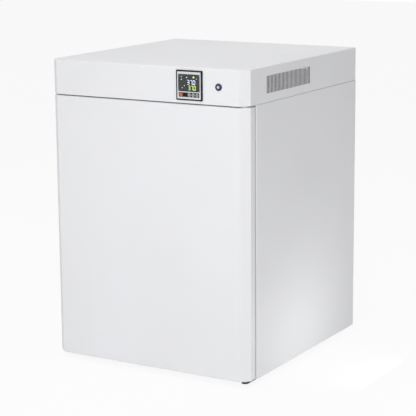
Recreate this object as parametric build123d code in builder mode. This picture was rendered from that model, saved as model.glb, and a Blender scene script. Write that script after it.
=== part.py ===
"""Water-jacketed laboratory incubator: a steel case with a full-height front door and an inner
glass door, a stainless chamber inside a water tank, and a control head on top.

Millimetres. +Z is up, the doors face -Y, and the origin is on the floor, under the middle of the
overall box. Both doors hang on their right-hand edge as seen from the front.
"""

from build123d import *
import os

os.makedirs("parts", exist_ok=True)

# Case
case_width = 565.0
case_depth = 600.0  # door face to rear panel
case_height = 765.0  # underside of the case to the top of the head
head_height = 86.5
foot_height = 12.0
sheet = 1.2  # painted and stainless sheet
bend = 3.0  # outer radius of a folded edge
corner_cut = 20.0  # slanted front corners, along X and along Y
face_reach = 4.4  # controller keys, in front of the door face
rear_reach = 45.0  # drain valve, behind the rear panel
rear_return = 22.0  # flange that the rear panel is screwed to
fit = 0.3  # gap round a loosely fitted sheet or block
bush_fit = 0.05  # radial gap of a pin in its bush
screw_inset = 12.0
screw_radius = 4.0
screw_head = 2.0
screw_rows = 4  # up each side of the rear panel

# Outer door
door_thick = 40.0
door_gap = 8.0  # door liner to case front, filled by the gasket
door_top_gap = 3.0
door_bottom_gap = 3.0
hinge_inset = 17.0  # pin to the side of the case
hinge_depth = 20.0  # pin to the door face
pin_radius = 5.0
bush_radius = 8.0
bush_length = 16.0
bush_rim = 1.0
bush_rim_radius = 9.0
bracket_thick = 3.0
bracket_nose = 9.0  # radius round the pin
bracket_wide = 40.0
bracket_lap = 28.0  # onto the case
gasket_inset = 30.0
gasket_wide = 14.0
gasket_radius = 18.0
gasket_chamfer = 2.0
gasket_fit = 0.3
field_inset = 52.0  # raised field of the door liner, from the door's edge
field_rise = 3.0
field_radius = 20.0
field_slope = 30.0
grip_height = 140.0  # finger pull in the door's free edge
grip_deep = 25.0
grip_front = 24.0  # its front wall, from the door face
grip_wall = 2.0
grip_rise = 48.75  # its middle, above the middle of the case

# Chamber, jacket and insulation
chamber_radius = 15.0
water_gap = 30.0
tank_wall = 1.5
tank_radius = 8.0
side_foam = 48.6
end_foam = 55.35  # above and below the tank
back_foam = 50.0
back_space = 38.1  # room for the pipe nuts, foam to rear panel
flange_wide = 46.0  # folded front of the case
ledge = 28.0  # throat round the chamber mouth
throat_deep = 30.0

# Glass door
glass_thick = 5.0
glass_gap = 8.0  # pane to throat wall
seal_inset = 5.0  # chamber mouth to seal
seal_wide = 10.0
seal_thick = 3.0
glass_pin = 2.5  # radius
glass_pin_out = 5.0  # pin to the front of the pane
glass_pin_inset = 2.0  # pin to the pane's edge
clip_wide = 29.0
clip_high = 24.0
clip_wall = 1.2
clip_lip = 4.0
clip_round = 2.0
post_fit = 0.5
post_wide = 22.0
post_deep = 12.0
knob_inset = 12.0  # inside the chamber mouth
knob_radius = 9.0
knob_reach = 16.0
knob_stem = 4.0
knob_waist = 5.0
knob_seat = 6.0  # radius of its foot and of its nut
knob_nut = 2.0
knob_round = 2.0
catch_high = 50.0
catch_fit = 0.6
catch_round = 1.0

# Racks and shelves
upright_wide = 16.0
upright_deep = 10.0
upright_inset = 50.0  # from the chamber's front and rear
rack_low = 20.0
rack_gap = 26.0  # top of the uprights to the fan cover
runner_reach = 22.0  # from the chamber wall
runner_thick = 1.5
runner_lip = 8.0
runner_first = 45.0  # above the chamber floor
runner_last = 60.0  # below the top of the uprights
runner_count = 6
shelf_levels = {"lower_shelf": 1, "middle_shelf": 3, "upper_shelf": 5}
shelf_fit = 2.0
shelf_space = 20.0  # for air, in front of and behind a shelf
shelf_radius = 14.0
frame_wire = 3.0  # radius
grid_wire = 1.5
tie_wire = 2.0
wire_sink = 0.4  # thin rods below the frame's top, ties above its foot
grid_count = 14
tie_count = 2

# Fan
fan_radius = 72.0
fan_hub_radius = 11.0
fan_hub_high = 20.0
fan_blade_high = 24.0
fan_blade_root = 24.0
fan_blade_thick = 1.2
fan_blade_lean = 38.0  # degrees from the root to the tip
fan_blade_camber = 12.0  # degrees from the root to mid-length
fan_blades = 10
fan_disc = 1.2
fan_drop = 8.0  # ceiling to the fan disc
shaft_radius = 4.0
shaft_end = 2.0  # out of the hub, and short of the bottom of the bore
shaft_chamfer = 0.8
tube_radius = 14.0
tube_bore = 11.0
tube_flange = 34.0
tube_flange_thick = 3.0
bearing_long = 12.0
motor_radius = 30.0
motor_high = 40.0
motor_round = 4.0
motor_cap = 4.0
motor_cap_radius = 10.0
motor_bore_deep = 20.0
cover_size = 280.0
cover_high = 44.0
cover_sheet = 1.0
cover_radius = 10.0
eye_slots = 24
eye_radius = 44.0
eye_slot_long = 24.0
eye_slot_wide = 5.0
outlet_slots = 12
outlet_pitch = 18.0
outlet_wide = 6.0
outlet_high = 20.0

# Control head
rim_front = 60.0  # edge of the top opening, from the face
rim_side = 22.0
rim_lip = 8.0
rim_radius = 6.0
plate_fit = 0.5
deck_lap = 28.0
vent_start = 95.0  # from the face
vent_high = 42.5
vent_drop = 54.5  # foot of the vent below the top
slot_wide = 3.2
slot_pitch = 7.0
slot_count = 33
rear_slot_count = 40

# Electrical parts in the head
board_inset = 117.5  # middle of the board, from the side of the case
board_wide = 130.0
board_deep = 95.0
board_thick = 1.6
standoff_high = 8.0
standoff_radius = 3.0
standoff_inset = 6.0
capacitor_x = 26.0
capacitor_pitch = 47.5
capacitor_radius = 6.0
capacitor_high = 18.0

# Blocks on the control board: middle from the board's middle, width, depth and height
board_blocks = (
    (-38.0, 18.0, 36.0, 32.0, 28.0),  # transformer
    (-38.0, -26.0, 20.0, 16.0, 16.0),  # relays
    (0.0, -26.0, 20.0, 16.0, 16.0),
    (0.0, 20.0, 20.0, 16.0, 16.0),
    (45.0, 0.0, 9.0, 70.0, 10.0),  # terminal strip
)
relay_inset = 132.5
relay_back = 100.0  # behind the middle of the chamber
relay_wide = 58.0
relay_deep = 45.0
relay_high = 24.0
relay_step = 3.0  # sunk middle with the terminal screws

# Controller
controller_inset = 154.5  # from the side of the case
controller_size = 72.0
controller_reach = 4.0
controller_rim = 3.5
controller_radius = 1.5
face_sheet = 1.0
housing_size = 67.5
housing_deep = 80.0
housing_round = 2.0
cutout_fit = 0.25
screen_wide = 57.0
screen_high = 39.0
screen_rise = 6.0
screen_radius = 3.0
lens_thick = 0.8
lens_fit = 0.1
strip_high = 10.9
strip_rise = -22.5
strip_radius = 1.5
key_fit = 0.2
key_back = 0.1  # key flange to the bezel's back
key_travel = 0.8
key_flange = 0.5
key_flange_thick = 1.0
key_high = 9.2
key_radius = 2.2
key_round = 0.3
clamp_wide = 20.0
clamp_high = 5.0
clamp_deep = 28.0

# Each key: offset from the middle of the controller, and width
keys = {
    "set_key": (-22.2, 11.6),
    "shift_key": (0.9, 9.0),
    "down_key": (11.6, 9.0),
    "up_key": (22.3, 9.0),
}

# Power switch
switch_inset = 74.9
switch_flange = 9.0  # radius
switch_flange_thick = 2.0
switch_barrel = 8.0  # radius
switch_long = 26.0
switch_nut = 11.0
switch_nut_thick = 3.0
button_radius = 6.6
button_fit = 0.2
button_reach = 3.4
button_long = 7.0
button_travel = 2.0
button_round = 1.2

# Heater and probes
heater_bar = 4.0  # radius
heater_half = 60.0
heater_rise = 15.0
heater_front = 60.0
heater_turn = 30.0
heater_terminal = 14.0
plate_wide = 160.0
plate_high = 24.0
plate_thick = 4.0
probe_inset = 70.0  # from the chamber wall
probe_drop = 80.0
probe_sleeve = 5.0
probe_rod = 2.5
probe_long = 80.0
probe_nut = 9.0
level_inset = 80.0
level_thread = 8.0
level_hex = 13.0
level_hex_high = 8.0
level_rod = 3.0
level_long = 22.0

# Fittings on the back
pipe_radius = 8.0
pipe_bore = 6.0
pipe_fall = 3.0  # pipe to the tank's bottom or top
valve_inset = 132.5  # from the side of the case
valve_flange = 13.0
valve_socket = 5.0
valve_neck = 9.5
valve_body = 12.5
valve_middle = 20.0  # middle of the ball behind the panel
valve_bore = 4.0
valve_boss = 6.5
valve_boss_high = 17.0
ball_radius = 7.5
ball_fit = 0.2
stem_radius = 3.0
stem_lap = 1.0  # above the bore of the ball
spout_radius = 6.0
hub_radius = 7.0
hub_high = 5.0
lever_long = 44.0
lever_wide = 9.0
lever_thick = 2.5
filler_out = 24.0  # middle of the filler neck behind the panel
filler_bend = 14.0
filler_rise = 34.0
filler_neck = 12.0
filler_neck_high = 16.0
filler_bore = 9.0
flange_ring = 13.0
flange_ring_thick = 3.0
cap_radius = 16.0
cap_high = 13.0
cap_wall = 4.0
cap_fit = 0.1
cap_round = 1.5
cap_flutes = 12
flute_radius = 1.6
overflow_inset = 132.5
overflow_radius = 6.0
overflow_bore = 4.5
overflow_out = 28.0
overflow_flange = 10.0
gland_inset = 92.5
gland_rise = 58.0
gland_bore = 3.75
gland_thread = 8.0
gland_thread_long = 10.0
gland_hex = 12.0
gland_hex_thick = 6.0
gland_shoulder = 11.0
gland_dome = 8.0
gland_long = 26.0

# Feet
foot_inset = 50.0
foot_radius = 18.0
foot_pad = 9.0
foot_collar = 8.0
foot_round = 2.0

# Places worked out from the sizes
half = case_width / 2
y_face = (face_reach - case_depth - rear_reach) / 2
y_rear = y_face + case_depth
y_door_back = y_face + door_thick
y_case = y_door_back + door_gap
z_case = foot_height
z_top = z_case + case_height
z_head = z_top - head_height
body_height = z_head - z_case
z_mid = z_case + body_height / 2
z_door = z_case + door_bottom_gap
door_height = body_height - door_top_gap - door_bottom_gap
z_door_top = z_door + door_height
hinge_x = half - hinge_inset
hinge_y = y_face + hinge_depth
grip_middle = z_mid + grip_rise
tank_reach = sheet + water_gap + tank_wall
chamber_width = case_width - 2 * (sheet + side_foam + tank_reach)
chamber_height = body_height - 2 * (sheet + end_foam + tank_reach)
throat_width = chamber_width + 2 * ledge
throat_height = chamber_height + 2 * ledge
y_frame = y_case + sheet
y_step = y_case + throat_deep
y_chamber = y_step + sheet
y_foam = y_rear - back_space
y_tank = y_foam - back_foam
y_chamber_back = y_tank - tank_reach
chamber_depth = y_chamber_back - y_chamber
y_fan = y_chamber + chamber_depth / 2
z_floor = z_mid - chamber_height / 2
z_ceiling = z_mid + chamber_height / 2
z_tank = z_floor - tank_reach
z_tank_top = z_ceiling + tank_reach
z_drain = z_tank + tank_wall + pipe_fall + pipe_radius
z_filler = z_tank_top - tank_wall - pipe_fall - pipe_radius
z_probe = z_ceiling - probe_drop
z_heater = z_tank + tank_wall + heater_rise
z_control = z_head + head_height / 2
rack_high = chamber_height - rack_low - rack_gap - cover_high
runner_pitch = (rack_low + rack_high - runner_first - runner_last) / (runner_count - 1)
shelf_depth = chamber_depth - 2 * shelf_space
controller_x = half - controller_inset
switch_x = half - switch_inset
board_x = board_inset - half
relay_x = half - relay_inset
probe_x = chamber_width / 2 - probe_inset
level_x = chamber_width / 2 - level_inset
valve_x = valve_inset - half
overflow_x = half - overflow_inset
gland_x = half - gland_inset
gland_z = z_case + gland_rise


def upright(y):
    """Plane standing at depth y: sketch x is the object's x, sketch y its height."""
    return Plane(origin=(0, y, 0), x_dir=(1, 0, 0), z_dir=(0, -1, 0))


def bar(x, z, radius, start, end):
    """A round bar along Y, for a pipe or for the hole that it passes through."""
    with BuildPart() as round_bar:
        with BuildSketch(upright(start)):
            with Locations((x, z)):
                Circle(radius)
        extrude(amount=start - end)
    return round_bar.part


def post(x, y, radius, low, high):
    """A round bar along Z, for a pin or for its hole."""
    with BuildPart() as round_post:
        with BuildSketch(Plane.XY.offset(low)):
            with Locations((x, y)):
                Circle(radius)
        extrude(amount=high - low)
    return round_post.part


def case_plan(back, inset=0.0):
    """The case seen from above, from the door face to back, with slanted front corners."""
    with BuildSketch() as plan:
        with BuildLine():
            Polyline(
                (-half, back),
                (-half, y_face + corner_cut),
                (-half + corner_cut, y_face),
                (half - corner_cut, y_face),
                (half, y_face + corner_cut),
                (half, back),
                close=True,
            )
        make_face()
        if inset:
            offset(amount=-inset, kind=Kind.INTERSECTION)
    return plan.sketch


# Case wrap: one folded sheet makes the sides, bottom, deck and front flange

with BuildPart() as case_wrap:
    with BuildSketch(upright(y_case)):
        with Locations((0, z_mid)):
            Rectangle(case_width, body_height)
    extrude(amount=y_case - y_rear)
    front = case_wrap.faces().sort_by(Axis.Y)[0]
    fillet(case_wrap.edges().filter_by(Axis.Y) + front.edges(), bend)
    offset(amount=-sheet, openings=case_wrap.faces().sort_by(Axis.Y)[-1])
    with BuildSketch(upright(y_case)):
        with Locations((0, z_mid)):
            Rectangle(case_width - 2 * flange_wide, body_height - 2 * flange_wide)
    extrude(amount=-2 * sheet, mode=Mode.SUBTRACT)
    # Flange for the rear panel
    with BuildSketch(upright(y_rear - sheet)):
        with Locations((0, z_mid)):
            Rectangle(case_width - sheet, body_height - sheet)
            Rectangle(case_width - 2 * rear_return, body_height - 2 * rear_return, mode=Mode.SUBTRACT)
    extrude(amount=sheet)
    # Holes in the deck for the fan tube, the level probe's lead and the heater's leads
    with BuildSketch(Plane.XY.offset(z_head)):
        with Locations((0, y_fan)):
            Circle(tube_radius)
        with Locations((level_x, y_fan)):
            Circle(level_thread)
        with Locations((relay_x, (y_foam + y_rear) / 2)):
            SlotOverall(relay_wide, 2 * level_thread)
    extrude(amount=-2 * sheet, mode=Mode.SUBTRACT)
case_wrap.part.label = "case_wrap"
export_step(case_wrap.part, "parts/case_wrap.step")

# Rear panel: closes the case wrap and carries the pipes and the cord gland

with BuildPart() as rear_panel:
    with BuildSketch(upright(y_rear)):
        with Locations((0, z_mid)):
            RectangleRounded(case_width - 2 * (sheet + fit), body_height - 2 * (sheet + fit), bend)
        with Locations((valve_x, z_drain), (valve_x, z_filler)):
            Circle(pipe_radius, mode=Mode.SUBTRACT)
        with Locations((overflow_x, z_filler)):
            Circle(overflow_radius, mode=Mode.SUBTRACT)
        with Locations((gland_x, gland_z)):
            Circle(gland_thread, mode=Mode.SUBTRACT)
    extrude(amount=sheet)
rear_panel.part.label = "rear_panel"
export_step(rear_panel.part, "parts/rear_panel.step")

screws_across = case_width - 2 * screw_inset
screws_up = (body_height - 2 * screw_inset) / (screw_rows - 1)
with BuildPart() as rear_screws:
    with BuildSketch(upright(y_rear)):
        with Locations((0, z_mid)):
            with GridLocations(screws_across, screws_up, 2, screw_rows):
                Circle(screw_radius)
    extrude(amount=-screw_head)
    fillet(rear_screws.edges().filter_by(GeomType.CIRCLE).group_by(Axis.Y)[-1], screw_head / 2)
rear_screws.part.label = "rear_screws"
export_step(rear_screws.part, "parts/rear_screws.step")

# Front frame: stainless ring behind the folded front, with the throat for the glass door

with BuildPart() as front_frame:
    with BuildSketch(upright(y_frame)):
        with Locations((0, z_mid)):
            Rectangle(case_width - 2 * (sheet + bend), body_height - 2 * (sheet + bend))
            Rectangle(throat_width, throat_height, mode=Mode.SUBTRACT)
    extrude(amount=-sheet)
    with BuildSketch(upright(y_frame)):
        with Locations((0, z_mid)):
            Rectangle(throat_width + 2 * sheet, throat_height + 2 * sheet)
            Rectangle(throat_width, throat_height, mode=Mode.SUBTRACT)
    extrude(amount=y_frame - y_chamber)
    with BuildSketch(upright(y_step)):
        with Locations((0, z_mid)):
            Rectangle(throat_width + sheet, throat_height + sheet)
            RectangleRounded(chamber_width, chamber_height, chamber_radius, mode=Mode.SUBTRACT)
    extrude(amount=-sheet)
front_frame.part.label = "front_frame"
export_step(front_frame.part, "parts/front_frame.step")


def mouth(grow, radius):
    """Sketch of the chamber's cross-section, larger by grow on every side."""
    with BuildSketch() as section:
        with Locations((0, z_mid)):
            RectangleRounded(chamber_width + 2 * grow, chamber_height + 2 * grow, radius)
    return section.sketch


# Chamber liner: a wrapped stainless sheet with round corners and a flat back

with BuildPart() as chamber_liner:
    with BuildSketch(upright(y_chamber)):
        add(mouth(sheet, chamber_radius + sheet))
    extrude(amount=-chamber_depth - sheet)
    with BuildSketch(upright(y_chamber)):
        add(mouth(0, chamber_radius))
    extrude(amount=-chamber_depth, mode=Mode.SUBTRACT)
    add(post(0, y_fan, tube_radius, z_ceiling, z_tank_top), mode=Mode.SUBTRACT)
    add(bar(probe_x, z_probe, probe_sleeve, y_chamber_back, y_tank), mode=Mode.SUBTRACT)
chamber_liner.part.label = "chamber_liner"
export_step(chamber_liner.part, "parts/chamber_liner.step")

# Water jacket: the tank round the liner, welded to the liner's mouth

with BuildPart() as water_jacket:
    with BuildSketch(upright(y_chamber)):
        add(mouth(tank_reach, tank_radius))
    extrude(amount=y_chamber - y_tank)
    with BuildSketch(upright(y_chamber + tank_wall)):
        add(mouth(tank_reach - tank_wall, tank_radius - tank_wall))
    extrude(amount=y_chamber + 2 * tank_wall - y_tank, mode=Mode.SUBTRACT)
    with BuildSketch(upright(y_chamber)):
        add(mouth(sheet, chamber_radius + sheet))
    extrude(amount=-tank_wall, mode=Mode.SUBTRACT)
    add(post(0, y_fan, tube_radius, z_ceiling, z_tank_top), mode=Mode.SUBTRACT)
    add(post(level_x, y_fan, level_thread, z_ceiling, z_tank_top), mode=Mode.SUBTRACT)
    add(bar(probe_x, z_probe, probe_sleeve, y_chamber_back, y_tank), mode=Mode.SUBTRACT)
    add(bar(valve_x, z_drain, pipe_radius, y_chamber_back, y_tank), mode=Mode.SUBTRACT)
    add(bar(valve_x, z_filler, pipe_radius, y_chamber_back, y_tank), mode=Mode.SUBTRACT)
    add(bar(overflow_x, z_filler, overflow_radius, y_chamber_back, y_tank), mode=Mode.SUBTRACT)
    for side in (-1, 1):
        leg = bar(side * heater_half, z_heater, heater_bar, y_chamber_back, y_tank)
        add(leg, mode=Mode.SUBTRACT)
water_jacket.part.label = "water_jacket"
export_step(water_jacket.part, "parts/water_jacket.step")

# Case foam: insulation between the case and the tank, with a pocket for the heater's terminals

with BuildPart() as case_foam:
    with BuildSketch(upright(y_frame + sheet)):
        with Locations((0, z_mid)):
            RectangleRounded(
                case_width - 2 * (sheet + fit),
                body_height - 2 * (sheet + fit),
                bend - sheet,
            )
    extrude(amount=y_frame + sheet - y_foam)
    with BuildSketch(upright(y_case)):
        with Locations((0, z_mid)):
            Rectangle(throat_width + 2 * sheet, throat_height + 2 * sheet)
    extrude(amount=y_case - y_chamber, mode=Mode.SUBTRACT)
    with BuildSketch(upright(y_chamber)):
        add(mouth(tank_reach, tank_radius))
    extrude(amount=y_chamber - y_tank, mode=Mode.SUBTRACT)
    add(post(0, y_fan, tube_radius, z_ceiling, z_head), mode=Mode.SUBTRACT)
    add(post(level_x, y_fan, level_hex + fit, z_ceiling, z_head), mode=Mode.SUBTRACT)
    add(bar(probe_x, z_probe, probe_sleeve, y_chamber_back, y_foam), mode=Mode.SUBTRACT)
    add(bar(valve_x, z_drain, pipe_radius, y_chamber_back, y_foam), mode=Mode.SUBTRACT)
    add(bar(valve_x, z_filler, pipe_radius, y_chamber_back, y_foam), mode=Mode.SUBTRACT)
    add(bar(overflow_x, z_filler, overflow_radius, y_chamber_back, y_foam), mode=Mode.SUBTRACT)
    with BuildSketch(upright(y_tank)):
        with Locations((0, z_heater)):
            Rectangle(plate_wide + 2 * fit, plate_high + 2 * fit)
    extrude(amount=y_tank - y_foam, mode=Mode.SUBTRACT)
case_foam.part.label = "case_foam"
export_step(case_foam.part, "parts/case_foam.step")

# Feet: rubber pads on a collar under the case

with BuildPart() as feet:
    with Locations((0, (y_case + y_rear) / 2)):
        with GridLocations(case_width - 2 * foot_inset, y_rear - y_case - 2 * foot_inset, 2, 2):
            Cylinder(foot_radius, foot_pad, align=(Align.CENTER, Align.CENTER, Align.MIN))
            Cylinder(foot_collar, foot_height, align=(Align.CENTER, Align.CENTER, Align.MIN))
    pad_tops = feet.edges().filter_by(GeomType.CIRCLE).filter_by_position(Axis.Z, foot_pad, foot_pad)
    fillet(pad_tops.filter_by(lambda edge: edge.radius > foot_collar), foot_round)
feet.part.label = "feet"
export_step(feet.part, "parts/feet.step")


def hinge_plate():
    """Sketch of a hinge bracket: round at the pin, square where it laps onto the case."""
    with BuildSketch() as plate:
        with Locations((hinge_x, hinge_y)):
            Circle(bracket_nose)
        with Locations((hinge_x + bracket_nose - bracket_wide / 2, y_case + bracket_lap / 2)):
            Rectangle(bracket_wide, bracket_lap)
        make_hull()
    return plate.sketch


# Upper hinge bracket: a plate on the deck inside the head, with the pin that guides the door

with BuildPart() as upper_hinge_bracket:
    with BuildSketch(Plane.XY.offset(z_head + sheet)):
        add(hinge_plate())
    extrude(amount=bracket_thick)
    add(post(hinge_x, hinge_y, pin_radius, z_door_top + 2 * bush_rim - bush_length, z_head + sheet))
upper_hinge_bracket.part.label = "upper_hinge_bracket"
export_step(upper_hinge_bracket.part, "parts/upper_hinge_bracket.step")

# Lower hinge bracket: a plate under the case, with the pin and the boss that carry the door

z_bush_foot = z_door - bush_rim
with BuildPart() as lower_hinge_bracket:
    with BuildSketch(Plane.XY.offset(z_case - bracket_thick)):
        add(hinge_plate())
    extrude(amount=bracket_thick)
    add(post(hinge_x, hinge_y, bush_radius, z_case, z_bush_foot - fit))
    add(post(hinge_x, hinge_y, pin_radius, z_case, z_door - 2 * bush_rim + bush_length))
lower_hinge_bracket.part.label = "lower_hinge_bracket"
export_step(lower_hinge_bracket.part, "parts/lower_hinge_bracket.step")


def door_block(inset=0.0):
    """The outer door's full shape with all edges but the rear ones folded to a radius."""
    with BuildPart() as block:
        with BuildSketch(Plane.XY.offset(z_door + inset)):
            add(case_plan(y_door_back, inset))
        extrude(amount=door_height - 2 * inset)
        back = block.faces().sort_by(Axis.Y)[-1]
        fillet(block.edges() - back.edges(), bend - inset)
    return block.part


def grip_notch(margin):
    """The finger pull's notch at the door's free edge, larger by margin inside the door."""
    with BuildPart() as notch:
        with BuildSketch(upright(y_face + grip_front - margin)):
            with Locations((-half, grip_middle)):
                Rectangle(2 * (grip_deep + margin), grip_height + 2 * margin)
        extrude(amount=-door_thick)
    return notch.part


def door_field(inset, base):
    """The raised field of the door liner, or with an inset the hollow behind it."""
    with BuildPart() as field:
        with BuildSketch(upright(base)):
            with Locations((0, z_mid)):
                RectangleRounded(
                    case_width - 2 * (field_inset + inset),
                    body_height - 2 * (field_inset + inset),
                    field_radius - inset,
                )
        extrude(amount=-field_rise, taper=field_slope)
    return field.part


def bush_holes(depth):
    """The round holes for both hinge bushes, from the door's ends to depth."""
    with BuildPart() as holes:
        add(post(hinge_x, hinge_y, bush_radius, z_door, z_door + depth))
        add(post(hinge_x, hinge_y, bush_radius, z_door_top - depth, z_door_top))
    return holes.part


# Door skin: folded pan, open at the back

with BuildPart() as door_skin:
    add(door_block())
    offset(amount=-sheet, openings=door_skin.faces().sort_by(Axis.Y)[-1])
    add(bush_holes(2 * sheet), mode=Mode.SUBTRACT)
    add(grip_notch(grip_wall), mode=Mode.SUBTRACT)
door_skin.part.label = "door_skin"
export_step(door_skin.part, "parts/door_skin.step")

# Door liner: flat inner sheet with a pressed field

with BuildPart() as door_liner:
    with BuildSketch(upright(y_door_back - sheet)):
        with Locations((0, z_door + door_height / 2)):
            RectangleRounded(
                case_width - 2 * (sheet + fit),
                door_height - 2 * (sheet + fit),
                bend - sheet,
            )
    extrude(amount=-sheet)
    add(door_field(0, y_door_back))
    add(door_field(sheet, y_door_back - sheet), mode=Mode.SUBTRACT)
    add(grip_notch(grip_wall), mode=Mode.SUBTRACT)
door_liner.part.label = "door_liner"
export_step(door_liner.part, "parts/door_liner.step")

# Door foam: fills the pan up to the liner

with BuildPart() as door_foam:
    add(door_block(sheet))
    add(door_field(sheet, y_door_back - sheet))
    add(bush_holes(bush_length), mode=Mode.SUBTRACT)
    add(grip_notch(grip_wall), mode=Mode.SUBTRACT)
door_foam.part.label = "door_foam"
export_step(door_foam.part, "parts/door_foam.step")

# Door grip: moulded insert that lines the finger pull

with BuildPart() as door_grip:
    add(door_block())
    add(grip_notch(grip_wall), mode=Mode.INTERSECT)
    add(grip_notch(0), mode=Mode.SUBTRACT)
door_grip.part.label = "door_grip"
export_step(door_grip.part, "parts/door_grip.step")

# Door gasket: magnetic ring between the door liner and the folded front of the case

with BuildPart() as door_gasket:
    with BuildSketch(upright(y_door_back)):
        with Locations((0, z_mid)):
            RectangleRounded(
                case_width - 2 * gasket_inset,
                body_height - 2 * gasket_inset,
                gasket_radius,
            )
            RectangleRounded(
                case_width - 2 * (gasket_inset + gasket_wide),
                body_height - 2 * (gasket_inset + gasket_wide),
                gasket_radius - gasket_wide,
                mode=Mode.SUBTRACT,
            )
    extrude(amount=gasket_fit - door_gap)
    chamfer(door_gasket.faces().sort_by(Axis.Y)[-1].edges(), gasket_chamfer)
door_gasket.part.label = "door_gasket"
export_step(door_gasket.part, "parts/door_gasket.step")

# Door bushes: flanged nylon sleeves for the hinge pins

with BuildPart() as door_bushes:
    add(bush_holes(bush_length))
    add(post(hinge_x, hinge_y, bush_rim_radius, z_bush_foot, z_door))
    add(post(hinge_x, hinge_y, bush_rim_radius, z_door_top, z_door_top + bush_rim))
    bore = post(hinge_x, hinge_y, pin_radius + bush_fit, z_bush_foot, z_door_top + bush_rim)
    add(bore, mode=Mode.SUBTRACT)
door_bushes.part.label = "door_bushes"
export_step(door_bushes.part, "parts/door_bushes.step")

# Glass door: a tempered pane on two corner clips, closing on a silicone seal

y_pane_back = y_step - seal_thick - gasket_fit
y_pane = y_pane_back - glass_thick
pane_half = throat_width / 2 - glass_gap
pane_top = z_mid + throat_height / 2 - glass_gap
pane_low = z_mid - throat_height / 2 + glass_gap
glass_hinge_x = pane_half - glass_pin_inset
glass_hinge_y = y_pane - glass_pin_out
knob_x = knob_inset - chamber_width / 2

with BuildPart() as glass_pane:
    with BuildSketch(upright(y_pane)):
        with Locations((0, z_mid)):
            RectangleRounded(2 * pane_half, pane_top - pane_low, glass_thick)
        with Locations((knob_x, z_mid)):
            Circle(knob_stem, mode=Mode.SUBTRACT)
    extrude(amount=-glass_thick)
glass_pane.part.label = "glass_pane"
export_step(glass_pane.part, "parts/glass_pane.step")

with BuildPart() as glass_seal:
    with BuildSketch(upright(y_step)):
        add(mouth(seal_inset + seal_wide, chamber_radius))
        add(mouth(seal_inset, seal_inset), mode=Mode.SUBTRACT)
    extrude(amount=seal_thick)
    fillet(glass_seal.faces().sort_by(Axis.Y)[0].edges(), seal_thick / 2)
glass_seal.part.label = "glass_seal"
export_step(glass_seal.part, "parts/glass_seal.step")

clip_x = glass_hinge_x + glass_pin_out - clip_wide / 2
with BuildPart() as glass_clips:
    for edge, inward in ((pane_top, -1), (pane_low, 1)):
        low = min(edge, edge + inward * clip_high)
        with BuildSketch(Plane.XY.offset(low)):
            with Locations((clip_x, y_pane - glass_pin_out)):
                RectangleRounded(clip_wide, 2 * glass_pin_out, clip_round)
        extrude(amount=clip_high)
        cap_low = min(edge, edge - inward * clip_wall)
        cap_middle = (clip_x - clip_wide / 2 + pane_half) / 2
        cap_wide = pane_half - clip_x + clip_wide / 2
        cap_deep = y_pane_back + clip_wall - y_pane + 2 * glass_pin_out
        with BuildSketch(Plane.XY.offset(cap_low)):
            with Locations((cap_middle, y_pane_back + clip_wall - cap_deep / 2)):
                Rectangle(cap_wide, cap_deep)
        extrude(amount=clip_wall)
        lip_low = min(edge, edge + inward * clip_lip)
        with BuildSketch(Plane.XY.offset(lip_low)):
            with Locations((cap_middle, y_pane_back + clip_wall / 2)):
                Rectangle(cap_wide, clip_wall)
        extrude(amount=clip_lip)
    hole = post(glass_hinge_x, glass_hinge_y, glass_pin + bush_fit, z_floor - ledge, z_ceiling + ledge)
    add(hole, mode=Mode.SUBTRACT)
glass_clips.part.label = "glass_clips"
export_step(glass_clips.part, "parts/glass_clips.step")

# Posts in the throat, with the pins that the glass door turns on

post_high = glass_gap - clip_wall - post_fit
with BuildPart() as glass_hinge_posts:
    for wall, inward in ((z_mid + throat_height / 2, -1), (z_mid - throat_height / 2, 1)):
        with BuildSketch(Plane.XY.offset(min(wall, wall + inward * post_high))):
            with Locations((throat_width / 2 - post_wide / 2, glass_hinge_y)):
                RectangleRounded(post_wide, post_deep, clip_round)
        extrude(amount=post_high)
        tip = wall + inward * (glass_gap + clip_high - 2 * clip_lip)
        add(post(glass_hinge_x, glass_hinge_y, glass_pin, min(wall, tip), max(wall, tip)))
glass_hinge_posts.part.label = "glass_hinge_posts"
export_step(glass_hinge_posts.part, "parts/glass_hinge_posts.step")

# Knob through the pane, with its nut behind the glass

with BuildPart() as glass_knob:
    with BuildSketch(Plane.XY.offset(z_mid)):
        with BuildLine():
            Polyline(
                (knob_x, y_pane_back + knob_nut),
                (knob_x + knob_seat, y_pane_back + knob_nut),
                (knob_x + knob_seat, y_pane_back),
                (knob_x + knob_stem, y_pane_back),
                (knob_x + knob_stem, y_pane),
                (knob_x + knob_seat, y_pane),
                (knob_x + knob_waist, y_pane - knob_reach / 3),
                (knob_x + knob_radius, y_pane - 2 * knob_reach / 3),
                (knob_x + knob_radius, y_pane - knob_reach),
                (knob_x, y_pane - knob_reach),
                close=True,
            )
        make_face()
    revolve(axis=Axis((knob_x, 0, z_mid), (0, 1, 0)))
    fillet(glass_knob.faces().sort_by(Axis.Y)[0].edges(), knob_round)
glass_knob.part.label = "glass_knob"
export_step(glass_knob.part, "parts/glass_knob.step")

# Magnetic catch on the throat's free side

with BuildPart() as glass_catch:
    catch_reach = glass_gap - catch_fit
    with BuildSketch(upright(y_pane - glass_thick)):
        with Locations((catch_reach / 2 - throat_width / 2, z_mid)):
            Rectangle(catch_reach, catch_high)
    extrude(amount=-2 * glass_thick)
    fillet(glass_catch.edges().filter_by(Axis.Y), catch_round)
glass_catch.part.label = "glass_catch"
export_step(glass_catch.part, "parts/glass_catch.step")

# Racks: two channel uprights on each side wall, with angle runners for the shelves

y_uprights = (y_chamber + upright_inset, y_chamber_back - upright_inset)
runner_long = y_uprights[1] - y_uprights[0] + upright_wide


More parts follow.
